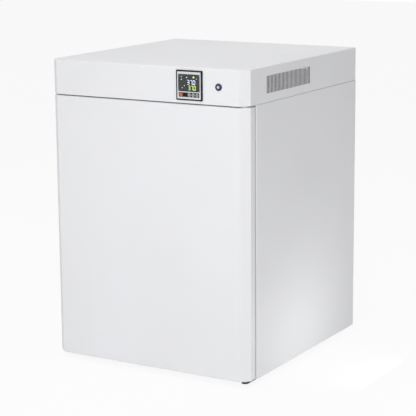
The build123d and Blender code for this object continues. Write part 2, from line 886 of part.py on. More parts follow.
def rack(side):
    """One side's rack; side is -1 for the left wall and 1 for the right one."""
    wall = chamber_width / 2
    with BuildPart() as frame:
        with BuildSketch(Plane.XY.offset(z_floor + rack_low)):
            with Locations(*[(side * (wall - upright_deep / 2), y) for y in y_uprights]):
                Rectangle(upright_deep, upright_wide)
            with Locations(*[(side * (wall - (upright_deep - runner_thick) / 2), y) for y in y_uprights]):
                Rectangle(
                    upright_deep - runner_thick,
                    upright_wide - 2 * runner_thick,
                    mode=Mode.SUBTRACT,
                )
        extrude(amount=rack_high)
        leg = runner_reach - upright_deep
        for level in range(runner_count):
            z = z_floor + runner_first + level * runner_pitch
            with BuildSketch(Plane.XY.offset(z - runner_thick)):
                with Locations((side * (wall - upright_deep - leg / 2), y_fan)):
                    Rectangle(leg, runner_long)
            extrude(amount=runner_thick)
            with BuildSketch(Plane.XY.offset(z)):
                with Locations((side * (wall - upright_deep - runner_thick / 2), y_fan)):
                    Rectangle(runner_thick, runner_long)
            extrude(amount=runner_lip)
    return frame.part


with BuildPart() as left_rack:
    add(rack(-1))
left_rack.part.label = "left_rack"
export_step(left_rack.part, "parts/left_rack.step")

with BuildPart() as right_rack:
    add(rack(1))
right_rack.part.label = "right_rack"
export_step(right_rack.part, "parts/right_rack.step")

# Shelves: welded stainless wire, a frame, a grid of thin rods and two ties under them

shelf_half = chamber_width / 2 - upright_deep - runner_thick - shelf_fit
frame_half = shelf_half - frame_wire
frame_deep = shelf_depth - 2 * frame_wire
for shelf_name, shelf_level in shelf_levels.items():
    z_shelf = z_floor + runner_first + shelf_level * runner_pitch + frame_wire
    with BuildPart() as shelf:
        with BuildLine(Plane.XY.offset(z_shelf)) as loop:
            Polyline(
                (frame_half, y_fan - frame_deep / 2),
                (frame_half, y_fan + frame_deep / 2),
                (-frame_half, y_fan + frame_deep / 2),
                (-frame_half, y_fan - frame_deep / 2),
                close=True,
            )
            fillet(loop.vertices(), shelf_radius)
        with BuildSketch(Plane(origin=loop.wire() @ 0, z_dir=loop.wire() % 0)):
            Circle(frame_wire)
        sweep(path=loop.wire())
        with BuildSketch(upright(y_fan - frame_deep / 2)):
            with Locations((0, z_shelf + frame_wire - grid_wire - wire_sink)):
                with GridLocations(2 * frame_half / (grid_count + 1), 0, grid_count, 1):
                    Circle(grid_wire)
        extrude(amount=-frame_deep)
        with BuildSketch(Plane.YZ.offset(-frame_half)):
            with Locations((y_fan, z_shelf + tie_wire - frame_wire + wire_sink)):
                with GridLocations(frame_deep / (tie_count + 1), 0, tie_count, 1):
                    Circle(tie_wire)
        extrude(amount=2 * frame_half)
    shelf.part.label = shelf_name
    export_step(shelf.part, f"parts/{shelf_name}.step")

# Fan: radial wheel under the ceiling, on a shaft that comes down through the jacket in a tube

z_disc = z_ceiling - fan_drop - fan_disc
with BuildSketch() as blade:
    with BuildLine():
        tip = Vector(fan_radius, 0).rotate(Axis.Z, -fan_blade_lean)
        camber = ThreePointArc(
            (fan_blade_root, 0),
            Vector((fan_blade_root + fan_radius) / 2, 0).rotate(Axis.Z, -fan_blade_camber),
            tip,
        )
        offset(camber, amount=fan_blade_thick / 2)
    make_face()

with BuildPart() as fan_wheel:
    with Locations((0, y_fan, z_disc)):
        Cylinder(fan_radius, fan_disc, align=(Align.CENTER, Align.CENTER, Align.MIN))
        Cylinder(fan_hub_radius, fan_hub_high, align=(Align.CENTER, Align.CENTER, Align.MAX))
    with BuildSketch(Plane.XY.offset(z_disc)):
        with Locations((0, y_fan)):
            with PolarLocations(0, fan_blades):
                add(blade.sketch)
    extrude(amount=-fan_blade_high)
    add(post(0, y_fan, shaft_radius, z_disc - fan_hub_high, z_ceiling), mode=Mode.SUBTRACT)
fan_wheel.part.label = "fan_wheel"
export_step(fan_wheel.part, "parts/fan_wheel.step")

z_motor = z_head + tube_flange_thick
with BuildPart() as fan_shaft:
    shaft_low = z_disc - fan_hub_high - shaft_end
    add(post(0, y_fan, shaft_radius, shaft_low, z_motor + motor_bore_deep - shaft_end))
    chamfer(fan_shaft.edges().filter_by(GeomType.CIRCLE), shaft_chamfer)
fan_shaft.part.label = "fan_shaft"
export_step(fan_shaft.part, "parts/fan_shaft.step")

with BuildPart() as shaft_tube:
    add(post(0, y_fan, tube_radius, z_ceiling, z_head))
    add(post(0, y_fan, tube_flange, z_head, z_motor))
    add(post(0, y_fan, tube_bore, z_ceiling, z_motor), mode=Mode.SUBTRACT)
shaft_tube.part.label = "shaft_tube"
export_step(shaft_tube.part, "parts/shaft_tube.step")

with BuildPart() as shaft_bearings:
    add(post(0, y_fan, tube_bore, z_ceiling, z_ceiling + bearing_long))
    add(post(0, y_fan, tube_bore, z_motor - bearing_long, z_motor))
    add(post(0, y_fan, shaft_radius + bush_fit, z_ceiling, z_motor), mode=Mode.SUBTRACT)
shaft_bearings.part.label = "shaft_bearings"
export_step(shaft_bearings.part, "parts/shaft_bearings.step")

with BuildPart() as fan_motor:
    with Locations((0, y_fan, z_motor)):
        Cylinder(tube_flange, tube_flange_thick, align=(Align.CENTER, Align.CENTER, Align.MIN))
        Cylinder(motor_radius, motor_high, align=(Align.CENTER, Align.CENTER, Align.MIN))
    fillet(fan_motor.faces().sort_by(Axis.Z)[-1].edges(), motor_round)
    with Locations((0, y_fan, z_motor + motor_high)):
        Cylinder(motor_cap_radius, motor_cap, align=(Align.CENTER, Align.CENTER, Align.MIN))
    add(post(0, y_fan, shaft_radius + bush_fit, z_motor, z_motor + motor_bore_deep), mode=Mode.SUBTRACT)
fan_motor.part.label = "fan_motor"
export_step(fan_motor.part, "parts/fan_motor.step")

# Fan cover: folded pan against the ceiling, drawing air through the middle and blowing it sideways

with BuildPart() as fan_cover:
    with BuildSketch(Plane.XY.offset(z_ceiling - cover_high)):
        with Locations((0, y_fan)):
            RectangleRounded(cover_size, cover_size, cover_radius)
    extrude(amount=cover_high)
    fillet(fan_cover.faces().sort_by(Axis.Z)[0].edges(), bend)
    offset(amount=-cover_sheet, openings=fan_cover.faces().sort_by(Axis.Z)[-1])
    with BuildSketch(Plane.XY.offset(z_ceiling - cover_high)):
        with Locations((0, y_fan)):
            with PolarLocations(eye_radius, eye_slots):
                SlotOverall(eye_slot_long, eye_slot_wide)
            with PolarLocations(eye_radius / 2, eye_slots // 2):
                SlotOverall(eye_slot_long / 2, eye_slot_wide)
    extrude(amount=2 * cover_sheet, mode=Mode.SUBTRACT)
    with BuildSketch(upright(y_fan - cover_size)):
        with Locations((0, z_ceiling - cover_high / 2)):
            with GridLocations(outlet_pitch, 0, outlet_slots, 1):
                SlotOverall(outlet_high, outlet_wide, rotation=90)
    extrude(amount=-2 * cover_size, mode=Mode.SUBTRACT)
    with BuildSketch(Plane.YZ.offset(-cover_size)):
        with Locations((y_fan, z_ceiling - cover_high / 2)):
            with GridLocations(outlet_pitch, 0, outlet_slots, 1):
                SlotOverall(outlet_high, outlet_wide, rotation=90)
    extrude(amount=2 * cover_size, mode=Mode.SUBTRACT)
fan_cover.part.label = "fan_cover"
export_step(fan_cover.part, "parts/fan_cover.step")

# Heater: a bent immersion bar in the water under the chamber, held by a plate on the tank's back

y_heater = y_chamber + heater_front
heater_end = y_tank + plate_thick + heater_terminal
with BuildPart() as heater_element:
    with BuildLine(Plane.XY.offset(z_heater)) as heater_path:
        FilletPolyline(
            (-heater_half, heater_end),
            (-heater_half, y_heater),
            (heater_half, y_heater),
            (heater_half, heater_end),
            radius=heater_turn,
        )
    with BuildSketch(upright(heater_end)):
        with Locations((-heater_half, z_heater)):
            Circle(heater_bar)
    sweep(path=heater_path.wire())
heater_element.part.label = "heater_element"
export_step(heater_element.part, "parts/heater_element.step")

with BuildPart() as heater_plate:
    with BuildSketch(upright(y_tank)):
        with Locations((0, z_heater)):
            Rectangle(plate_wide, plate_high)
        with Locations((-heater_half, z_heater), (heater_half, z_heater)):
            Circle(heater_bar, mode=Mode.SUBTRACT)
    extrude(amount=-plate_thick)
heater_plate.part.label = "heater_plate"
export_step(heater_plate.part, "parts/heater_plate.step")

# Temperature probe: sleeve through the jacket with a thin rod in the chamber

with BuildPart() as temperature_probe:
    add(bar(probe_x, z_probe, probe_rod, y_chamber_back - probe_long, y_chamber_back))
    fillet(temperature_probe.faces().sort_by(Axis.Y)[0].edges(), probe_rod / 2)
    add(bar(probe_x, z_probe, probe_sleeve, y_chamber_back, y_foam))
    with BuildSketch(upright(y_foam)):
        with Locations((probe_x, z_probe)):
            RegularPolygon(probe_nut, 6)
    extrude(amount=-probe_sleeve)
temperature_probe.part.label = "temperature_probe"
export_step(temperature_probe.part, "parts/temperature_probe.step")

# Level probe: screwed into the tank's top, its rod in the water above the chamber

with BuildPart() as level_probe:
    with BuildSketch(Plane.XY.offset(z_tank_top)):
        with Locations((level_x, y_fan)):
            RegularPolygon(level_hex, 6)
    extrude(amount=level_hex_high)
    add(post(level_x, y_fan, level_thread, z_tank_top - tank_wall, z_tank_top))
    add(post(level_x, y_fan, level_rod, z_tank_top - level_long, z_tank_top))
    add(post(level_x, y_fan, level_rod, z_tank_top, z_head))
level_probe.part.label = "level_probe"
export_step(level_probe.part, "parts/level_probe.step")

# Control head: one folded cover with slanted front corners, vents, and a rim round the top plate

opening_width = case_width - 2 * rim_side
opening_depth = case_depth - rim_front - rim_side
opening_y = y_face + rim_front + opening_depth / 2
vent_z = z_top - vent_drop + vent_high / 2
vent_y = y_face + vent_start + (slot_count - 1) * slot_pitch / 2 + slot_wide / 2

with BuildPart() as control_head:
    with BuildSketch(Plane.XY.offset(z_head)):
        add(case_plan(y_rear))
    extrude(amount=head_height)
    underside = control_head.faces().sort_by(Axis.Z)[0]
    fillet(control_head.edges() - underside.edges(), bend)
    offset(amount=-sheet, openings=control_head.faces().sort_by(Axis.Z)[0])
    # Lower flange over the door, lapped onto the deck
    with BuildSketch(Plane.XY.offset(z_head)):
        add(case_plan(y_case + deck_lap, sheet / 2))
        with Locations((hinge_x, hinge_y)):
            Circle(pin_radius, mode=Mode.SUBTRACT)
    extrude(amount=sheet)
    # Top opening with a lip that the plate lies on
    with BuildSketch(Plane.XY.offset(z_top - sheet)):
        with Locations((0, opening_y)):
            Rectangle(opening_width + 2 * rim_lip, opening_depth + 2 * rim_lip)
            Rectangle(opening_width - 2 * rim_lip, opening_depth - 2 * rim_lip, mode=Mode.SUBTRACT)
    extrude(amount=-sheet)
    with BuildSketch(Plane.XY.offset(z_top)):
        with Locations((0, opening_y)):
            RectangleRounded(opening_width, opening_depth, rim_radius)
    extrude(amount=-sheet, mode=Mode.SUBTRACT)
    # Side and rear vents
    with BuildSketch(Plane.YZ.offset(half)):
        with Locations((vent_y, vent_z)):
            with GridLocations(slot_pitch, 0, slot_count, 1):
                Rectangle(slot_wide, vent_high)
    extrude(amount=-case_width, mode=Mode.SUBTRACT)
    with BuildSketch(upright(y_rear)):
        with Locations((0, vent_z)):
            with GridLocations(slot_pitch, 0, rear_slot_count, 1):
                Rectangle(slot_wide, vent_high)
    extrude(amount=2 * sheet, mode=Mode.SUBTRACT)
    # Cut-outs for the controller and the switch
    with BuildSketch(upright(y_face)):
        with Locations((controller_x, z_control)):
            Rectangle(housing_size + 2 * cutout_fit, housing_size + 2 * cutout_fit)
        with Locations((switch_x, z_control)):
            Circle(switch_barrel)
    extrude(amount=-2 * sheet, mode=Mode.SUBTRACT)
control_head.part.label = "control_head"
export_step(control_head.part, "parts/control_head.step")

with BuildPart() as top_plate:
    with BuildSketch(Plane.XY.offset(z_top)):
        with Locations((0, opening_y)):
            RectangleRounded(
                opening_width - 2 * plate_fit,
                opening_depth - 2 * plate_fit,
                rim_radius - plate_fit,
            )
    extrude(amount=-sheet)
top_plate.part.label = "top_plate"
export_step(top_plate.part, "parts/top_plate.step")

# Control board on four standoffs, and the heater relay, all on the deck

z_board = z_head + standoff_high + board_thick
with BuildPart() as control_board:
    with Locations((board_x, y_fan, z_board)):
        Box(board_wide, board_deep, board_thick, align=(Align.CENTER, Align.CENTER, Align.MAX))
        for chip_x, chip_y, chip_wide, chip_deep, chip_high in board_blocks:
            with Locations((chip_x, chip_y, 0)):
                Box(chip_wide, chip_deep, chip_high, align=(Align.CENTER, Align.CENTER, Align.MIN))
        with Locations((capacitor_x, 0, 0)):
            with GridLocations(0, capacitor_pitch, 1, 2):
                Cylinder(capacitor_radius, capacitor_high, align=(Align.CENTER, Align.CENTER, Align.MIN))
    with Locations((board_x, y_fan, z_head)):
        with GridLocations(board_wide - 2 * standoff_inset, board_deep - 2 * standoff_inset, 2, 2):
            Cylinder(standoff_radius, standoff_high, align=(Align.CENTER, Align.CENTER, Align.MIN))
control_board.part.label = "control_board"
export_step(control_board.part, "parts/control_board.step")

with BuildPart() as heater_relay:
    with Locations((relay_x, y_fan + relay_back, z_head)):
        Box(relay_wide, relay_deep, relay_high, align=(Align.CENTER, Align.CENTER, Align.MIN))
        with Locations((0, 0, relay_high)):
            Box(
                relay_wide,
                relay_deep / 2,
                relay_step,
                align=(Align.CENTER, Align.CENTER, Align.MAX),
                mode=Mode.SUBTRACT,
            )
        with Locations((0, 0, relay_high - relay_step)):
            with GridLocations(2 * relay_wide / 3, 0, 2, 1):
                Cylinder(screw_radius, screw_head, align=(Align.CENTER, Align.CENTER, Align.MIN))
heater_relay.part.label = "heater_relay"
export_step(heater_relay.part, "parts/heater_relay.step")

# Controller: a panel instrument; black bezel with a silver face let into it

y_bezel = y_face - controller_reach
y_strip = y_bezel + face_sheet
face_size = controller_size - 2 * controller_rim

with BuildPart() as controller_bezel:
    with BuildSketch(upright(y_face)):
        with Locations((controller_x, z_control)):
            RectangleRounded(controller_size, controller_size, controller_radius)
    extrude(amount=controller_reach)
    fillet(controller_bezel.faces().sort_by(Axis.Y)[0].edges(), controller_rim / 4)
    with BuildSketch(upright(y_strip)):
        with Locations((controller_x, z_control)):
            Rectangle(face_size, face_size)
    extrude(amount=face_sheet, mode=Mode.SUBTRACT)
    with BuildSketch(upright(y_strip)):
        for key_x, key_wide in keys.values():
            with Locations((controller_x + key_x, z_control + strip_rise)):
                Rectangle(key_wide + 2 * key_fit, key_high + 2 * key_fit)
    extrude(amount=-controller_reach, mode=Mode.SUBTRACT)
controller_bezel.part.label = "controller_bezel"
export_step(controller_bezel.part, "parts/controller_bezel.step")

with BuildPart() as controller_face:
    with BuildSketch(upright(y_strip)):
        with Locations((controller_x, z_control)):
            Rectangle(face_size, face_size)
        with Locations((controller_x, z_control + screen_rise)):
            RectangleRounded(screen_wide, screen_high, screen_radius, mode=Mode.SUBTRACT)
        with Locations((controller_x, z_control + strip_rise)):
            RectangleRounded(screen_wide, strip_high, strip_radius, mode=Mode.SUBTRACT)
    extrude(amount=face_sheet)
controller_face.part.label = "controller_face"
export_step(controller_face.part, "parts/controller_face.step")

with BuildPart() as display_lens:
    with BuildSketch(upright(y_strip)):
        with Locations((controller_x, z_control + screen_rise)):
            RectangleRounded(
                screen_wide - 2 * lens_fit,
                screen_high - 2 * lens_fit,
                screen_radius - lens_fit,
            )
    extrude(amount=lens_thick)
display_lens.part.label = "display_lens"
export_step(display_lens.part, "parts/display_lens.step")

# Controller housing behind the panel, with two clamps against the sheet and room for the keys' flanges

key_room = key_back + key_flange_thick + key_travel + key_fit
with BuildPart() as controller_housing:
    with BuildSketch(upright(y_face)):
        with Locations((controller_x, z_control)):
            Rectangle(housing_size, housing_size)
    extrude(amount=-housing_deep)
    with BuildSketch(upright(y_face)):
        with Locations((controller_x, z_control + strip_rise)):
            Rectangle(screen_wide + 2 * key_fit, key_high + 2 * (key_flange + key_fit))
    extrude(amount=-key_room, mode=Mode.SUBTRACT)
    fillet(controller_housing.faces().sort_by(Axis.Y)[-1].edges(), housing_round)
    for side in (-1, 1):
        with BuildSketch(upright(y_face + sheet)):
            with Locations((controller_x, z_control + side * (housing_size + clamp_high) / 2)):
                Rectangle(clamp_wide, clamp_high)
        extrude(amount=-clamp_deep)
controller_housing.part.label = "controller_housing"
export_step(controller_housing.part, "parts/controller_housing.step")

# Keys: each slides in its own hole and is held by a flange behind the bezel

for key_name, (key_x, key_wide) in keys.items():
    with BuildPart() as key:
        with BuildSketch(upright(y_face - face_reach)):
            with Locations((controller_x + key_x, z_control + strip_rise)):
                RectangleRounded(key_wide, key_high, key_radius)
        extrude(amount=-face_reach - key_back)
        fillet(key.faces().sort_by(Axis.Y)[0].edges(), key_round)
        with BuildSketch(upright(y_face + key_back)):
            with Locations((controller_x + key_x, z_control + strip_rise)):
                Rectangle(key_wide + 2 * key_flange, key_high + 2 * key_flange)
        extrude(amount=-key_flange_thick)
    key.part.label = key_name
    export_step(key.part, f"parts/{key_name}.step")

# Power switch: barrel through the face, held by a nut, with a push button in its bore

button_room = button_long - button_reach + button_travel + fit
with BuildPart() as power_switch:
    add(bar(switch_x, z_control, switch_flange, y_face - switch_flange_thick, y_face))
    fillet(power_switch.faces().sort_by(Axis.Y)[0].edges(), switch_flange_thick / 3)
    add(bar(switch_x, z_control, switch_barrel, y_face, y_face + switch_long))
    with BuildSketch(upright(y_face + sheet)):
        with Locations((switch_x, z_control)):
            RegularPolygon(switch_nut, 6)
    extrude(amount=-switch_nut_thick)
    bore_front = y_face - switch_flange_thick
    bore = bar(switch_x, z_control, button_radius + button_fit, bore_front, y_face + button_room)
    add(bore, mode=Mode.SUBTRACT)
power_switch.part.label = "power_switch"
export_step(power_switch.part, "parts/power_switch.step")

with BuildPart() as power_button:
    y_button = y_face - button_reach
    add(bar(switch_x, z_control, button_radius, y_button, y_button + button_long))
    fillet(power_button.faces().sort_by(Axis.Y)[0].edges(), button_round)
power_button.part.label = "power_button"
export_step(power_button.part, "parts/power_button.step")

# Drain: pipe from the tank's bottom, ball valve outside, lever on its stem

y_valve = y_rear + valve_middle
y_spout = y_rear + rear_reach
with BuildPart() as drain_pipe:
    add(bar(valve_x, z_drain, pipe_radius, y_tank - tank_wall, y_rear + valve_socket))
    add(bar(valve_x, z_drain, pipe_bore, y_tank - tank_wall, y_rear + valve_socket), mode=Mode.SUBTRACT)
drain_pipe.part.label = "drain_pipe"
export_step(drain_pipe.part, "parts/drain_pipe.step")

with BuildPart() as drain_valve:
    with BuildSketch(Plane.XY.offset(z_drain)):
        with BuildLine():
            Polyline(
                (valve_x, y_rear),
                (valve_x + valve_flange, y_rear),
                (valve_x + valve_flange, y_rear + valve_socket),
                (valve_x + valve_neck, y_rear + valve_socket),
                (valve_x + valve_neck, y_valve - valve_neck),
            )
            ThreePointArc(
                (valve_x + valve_neck, y_valve - valve_neck),
                (valve_x + valve_body, y_valve),
                (valve_x + valve_neck, y_valve + valve_neck),
            )
            Polyline(
                (valve_x + valve_neck, y_valve + valve_neck),
                (valve_x + spout_radius, y_valve + valve_neck),
                (valve_x + spout_radius, y_spout),
                (valve_x, y_spout),
                (valve_x, y_rear),
            )
        make_face()
    revolve(axis=Axis((valve_x, 0, z_drain), (0, 1, 0)))
    add(post(valve_x, y_valve, valve_boss, z_drain, z_drain + valve_boss_high))
    add(bar(valve_x, z_drain, valve_bore, y_rear, y_spout), mode=Mode.SUBTRACT)
    add(bar(valve_x, z_drain, pipe_radius, y_rear, y_rear + valve_socket), mode=Mode.SUBTRACT)
    with Locations((valve_x, y_valve, z_drain)):
        Sphere(ball_radius + ball_fit, mode=Mode.SUBTRACT)
    stem_hole = post(valve_x, y_valve, stem_radius + bush_fit, z_drain, z_drain + valve_boss_high)
    add(stem_hole, mode=Mode.SUBTRACT)
drain_valve.part.label = "drain_valve"
export_step(drain_valve.part, "parts/drain_valve.step")

z_hub = z_drain + valve_boss_high + fit
with BuildPart() as valve_ball:
    with Locations((valve_x, y_valve, z_drain)):
        Sphere(ball_radius)
        Cylinder(valve_bore, 2 * ball_radius, rotation=(0, 90, 0), mode=Mode.SUBTRACT)
    add(post(valve_x, y_valve, stem_radius, z_drain + valve_bore + stem_lap, z_hub + hub_high))
valve_ball.part.label = "valve_ball"
export_step(valve_ball.part, "parts/valve_ball.step")

with BuildPart() as valve_lever:
    add(post(valve_x, y_valve, hub_radius, z_hub, z_hub + hub_high))
    with BuildSketch(Plane.XY.offset(z_hub + hub_high - lever_thick)):
        with Locations((valve_x + (lever_long - lever_wide) / 2, y_valve)):
            SlotOverall(lever_long, lever_wide)
    extrude(amount=lever_thick)
    add(post(valve_x, y_valve, stem_radius, z_hub, z_hub + hub_high), mode=Mode.SUBTRACT)
valve_lever.part.label = "valve_lever"
export_step(valve_lever.part, "parts/valve_lever.step")

# Filler: pipe from the tank's top, elbow and neck outside, screw cap

y_neck = y_rear + filler_out
z_neck = z_filler + filler_rise
with BuildPart() as filler_elbow:
    with BuildLine() as filler_path:
        FilletPolyline(
            (valve_x, y_tank - tank_wall, z_filler),
            (valve_x, y_neck, z_filler),
            (valve_x, y_neck, z_neck),
            radius=filler_bend,
        )
    with BuildSketch(upright(y_tank - tank_wall)):
        with Locations((valve_x, z_filler)):
            Circle(pipe_radius)
    sweep(path=filler_path.wire())
    add(post(valve_x, y_neck, filler_neck, z_neck - filler_neck_high, z_neck))
    add(bar(valve_x, z_filler, flange_ring, y_rear, y_rear + flange_ring_thick))
    with BuildSketch(upright(y_tank - tank_wall)):
        with Locations((valve_x, z_filler)):
            Circle(pipe_bore)
    sweep(path=filler_path.wire(), mode=Mode.SUBTRACT)
    neck_bore = post(valve_x, y_neck, filler_bore, z_neck - filler_neck_high + cap_wall, z_neck)
    add(neck_bore, mode=Mode.SUBTRACT)
filler_elbow.part.label = "filler_elbow"
export_step(filler_elbow.part, "parts/filler_elbow.step")

z_cap = z_neck - cap_high + cap_wall + fit
with BuildPart() as filler_cap:
    add(post(valve_x, y_neck, cap_radius, z_cap, z_cap + cap_high))
    fillet(filler_cap.faces().sort_by(Axis.Z)[-1].edges(), cap_round)
    add(post(valve_x, y_neck, filler_neck + fit, z_cap, z_neck + fit), mode=Mode.SUBTRACT)
    add(post(valve_x, y_neck, filler_bore - cap_fit, z_cap, z_neck + fit))
    with BuildSketch(Plane.XY.offset(z_cap)):
        with Locations((valve_x, y_neck)):
            with PolarLocations(cap_radius, cap_flutes):
                Circle(flute_radius)
    extrude(amount=cap_high, mode=Mode.SUBTRACT)
filler_cap.part.label = "filler_cap"
export_step(filler_cap.part, "parts/filler_cap.step")

# Overflow: open pipe level with the filler

with BuildPart() as overflow_pipe:
    inlet, spout = y_tank - tank_wall, y_rear + overflow_out
    add(bar(overflow_x, z_filler, overflow_radius, inlet, spout))
    add(bar(overflow_x, z_filler, overflow_flange, y_rear, y_rear + flange_ring_thick))
    add(bar(overflow_x, z_filler, overflow_bore, inlet, spout), mode=Mode.SUBTRACT)
overflow_pipe.part.label = "overflow_pipe"
export_step(overflow_pipe.part, "parts/overflow_pipe.step")

# Cord gland through the rear panel, with its lock nut inside

with BuildPart() as cord_gland:
    with BuildSketch(upright(y_rear)):
        with Locations((gland_x, gland_z)):
            RegularPolygon(gland_hex, 6)
    extrude(amount=-gland_hex_thick)
    add(bar(gland_x, gland_z, gland_thread, y_rear - sheet - gland_thread_long, y_rear))
    with BuildSketch(upright(y_rear + gland_hex_thick)):
        with Locations((gland_x, gland_z)):
            Circle(gland_shoulder)
    with BuildSketch(upright(y_rear + gland_long)):
        with Locations((gland_x, gland_z)):
            Circle(gland_dome)
    loft()
    with BuildSketch(upright(y_rear - sheet)):
        with Locations((gland_x, gland_z)):
            RegularPolygon(gland_hex, 6)
    extrude(amount=gland_hex_thick / 2)
    gland_start = y_rear - sheet - gland_thread_long
    add(bar(gland_x, gland_z, gland_bore, gland_start, y_rear + gland_long), mode=Mode.SUBTRACT)
cord_gland.part.label = "cord_gland"
export_step(cord_gland.part, "parts/cord_gland.step")
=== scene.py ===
"""Looks for a water-jacketed laboratory incubator, built round its fixed frame.

Everything is in metres in the frame's own axes: +Z up, the doors face -Y. The file goes from the
painted case and head through the plated, stainless, cast, glass, rubber and moulded pieces to the
controller with its keys and the switch, and ends with the studio and the camera.
"""

from math import cos, pi, radians, sin

import bmesh
import bpy
import numpy as np
from mathutils import Matrix, Vector


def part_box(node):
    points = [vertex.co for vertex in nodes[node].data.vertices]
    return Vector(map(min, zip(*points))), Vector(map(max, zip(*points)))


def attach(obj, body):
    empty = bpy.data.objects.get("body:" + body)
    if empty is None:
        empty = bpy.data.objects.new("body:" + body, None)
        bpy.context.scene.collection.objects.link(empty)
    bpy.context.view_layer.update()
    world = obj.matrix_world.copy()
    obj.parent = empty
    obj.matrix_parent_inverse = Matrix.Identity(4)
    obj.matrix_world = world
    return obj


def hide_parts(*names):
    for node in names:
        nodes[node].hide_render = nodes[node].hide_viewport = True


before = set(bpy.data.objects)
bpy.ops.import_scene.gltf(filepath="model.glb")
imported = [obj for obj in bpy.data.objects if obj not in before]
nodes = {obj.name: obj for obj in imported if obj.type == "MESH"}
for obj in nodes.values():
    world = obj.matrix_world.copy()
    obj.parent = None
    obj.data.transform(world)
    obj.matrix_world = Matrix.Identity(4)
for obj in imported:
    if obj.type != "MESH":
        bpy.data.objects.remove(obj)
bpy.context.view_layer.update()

# Painted sheet: folded steel under an off-white stove enamel, slightly wavy like orange peel and
# a little darker where dust settles in the film. It covers the case, the head and the door pan.


class Coat:
    """One value or colour that varies over a surface. Sums and products of it add the nodes that
    work them out, and node() adds any other kind."""

    def __init__(self, tree, socket):
        self.tree = tree
        self.socket = socket

    def node(self, kind, settings, output, **inputs):
        """Adds a node with its settings, then its inputs, and returns one of its outputs."""
        made = self.tree.nodes.new(kind)
        for name, value in settings.items():
            setattr(made, name, value)
        for name, value in inputs.items():
            self.join(made, name.replace("_", " "), value)
        return Coat(self.tree, made.outputs[output])

    def join(self, made, name, value):
        """Sets or links one input; a name that ends in a number picks it by its place."""
        last = name.split()[-1]
        plug = made.inputs[int(last)] if last.isdigit() else made.inputs[name]
        if isinstance(value, Coat):
            self.tree.links.new(value.socket, plug)
        elif hasattr(value, "__len__") and plug.type == "RGBA":
            plug.default_value = (*value, 1.0)
        else:
            plug.default_value = value

    def maths(self, operation, *values):
        """One Math node that works on these values."""
        sockets = {f"in_{place}": value for place, value in enumerate(values)}
        return self.node("ShaderNodeMath", {"operation": operation}, "Value", **sockets)

    def __add__(self, other):
        return self.maths("ADD", self, other)

    __radd__ = __add__

    def __sub__(self, other):
        return self.maths("SUBTRACT", self, other)

    def __rsub__(self, other):
        return self.maths("SUBTRACT", other, self)

    def __mul__(self, other):
        return self.maths("MULTIPLY", self, other)

    __rmul__ = __mul__

    def over(self, edge):
        """1 where this value is greater than the edge, and 0 elsewhere."""
        return self.maths("GREATER_THAN", self, edge)

    def blur(self, low, high):
        """0 below low, 1 above high, and a smooth rise between them."""
        rise = {"interpolation_type": "SMOOTHSTEP"}
        ends = {"From_Min": low, "From_Max": high}
        return self.node("ShaderNodeMapRange", rise, "Result", Value=self, **ends)

    def tint(self, first, second):
        """Goes from the first colour to the second as this value goes from 0 to 1."""
        settings = {"data_type": "RGBA"}
        return self.node("ShaderNodeMix", settings, 2, in_0=self, in_6=first, in_7=second)

    def along(self, axis):
        """One coordinate of this place: X, Y or Z."""
        return self.node("ShaderNodeSeparateXYZ", {}, axis, Vector=self)

    def stretched(self, x, y, z):
        """This place with each coordinate multiplied, for grain that runs one way."""
        point = {"vector_type": "POINT"}
        return self.node("ShaderNodeMapping", point, "Vector", Vector=self, Scale=(x, y, z))

    def grain(self, waves, detail=2.0, roughness=0.5):
        """Soft noise from 0 to 1 with about this many waves in a metre."""
        noise = {"Scale": waves, "Detail": detail, "Roughness": roughness}
        return self.node("ShaderNodeTexNoise", {}, "Fac", Vector=self, **noise)

    def bump(self, height, deep, strength):
        """A surface direction that follows a height, whose rise from 0 to 1 is this deep."""
        relief = {"Height": height, "Distance": deep, "Strength": strength}
        return self.node("ShaderNodeBump", {}, "Normal", **relief)


def finish(name, paint, *wearers, **plain):
    """Makes a material, lets paint(place) say what varies over it, and puts it on its wearers."""
    material = bpy.data.materials.new(name)
    material.use_nodes = True
    tree = material.node_tree
    shader = tree.nodes["Principled BSDF"]
    place = Coat(tree, tree.nodes.new("ShaderNodeTexCoord").outputs["Object"])
    for socket, value in {**plain, **paint(place)}.items():
        place.join(shader, socket.replace("_", " "), value)
    for wearer in wearers:
        mesh = (nodes[wearer] if isinstance(wearer, str) else wearer).data
        mesh.materials.clear()
        mesh.materials.append(material)


enamel_white = (0.800, 0.803, 0.826)
enamel_warm = (0.776, 0.779, 0.796)
enamel_dust = (0.60, 0.60, 0.59)
dust_share = 0.06
enamel_shine = 0.45  # a little less specular than plain plastic


def enamel(place):
    """Two near whites in broad clouds, a few specks of dust, and a fine orange-peel bump."""
    cloud = place.grain(2.6, detail=3.0)
    peel = place.grain(260.0)
    dust = place.grain(900.0, detail=1.0).blur(0.66, 0.74)
    film = cloud.blur(0.35, 0.7).tint(enamel_white, enamel_warm)
    return {
        "Base_Color": (dust * dust_share).tint(film, enamel_dust),
        "Roughness": 0.30 + 0.10 * cloud + 0.05 * peel,
        "Normal": place.bump(peel, deep=0.00012, strength=0.35),
    }


finish(
    "stove_enamel",
    enamel,
    "case_wrap",
    "rear_panel",
    "top_plate",
    "door_skin",
    Specular_IOR_Level=enamel_shine,
)
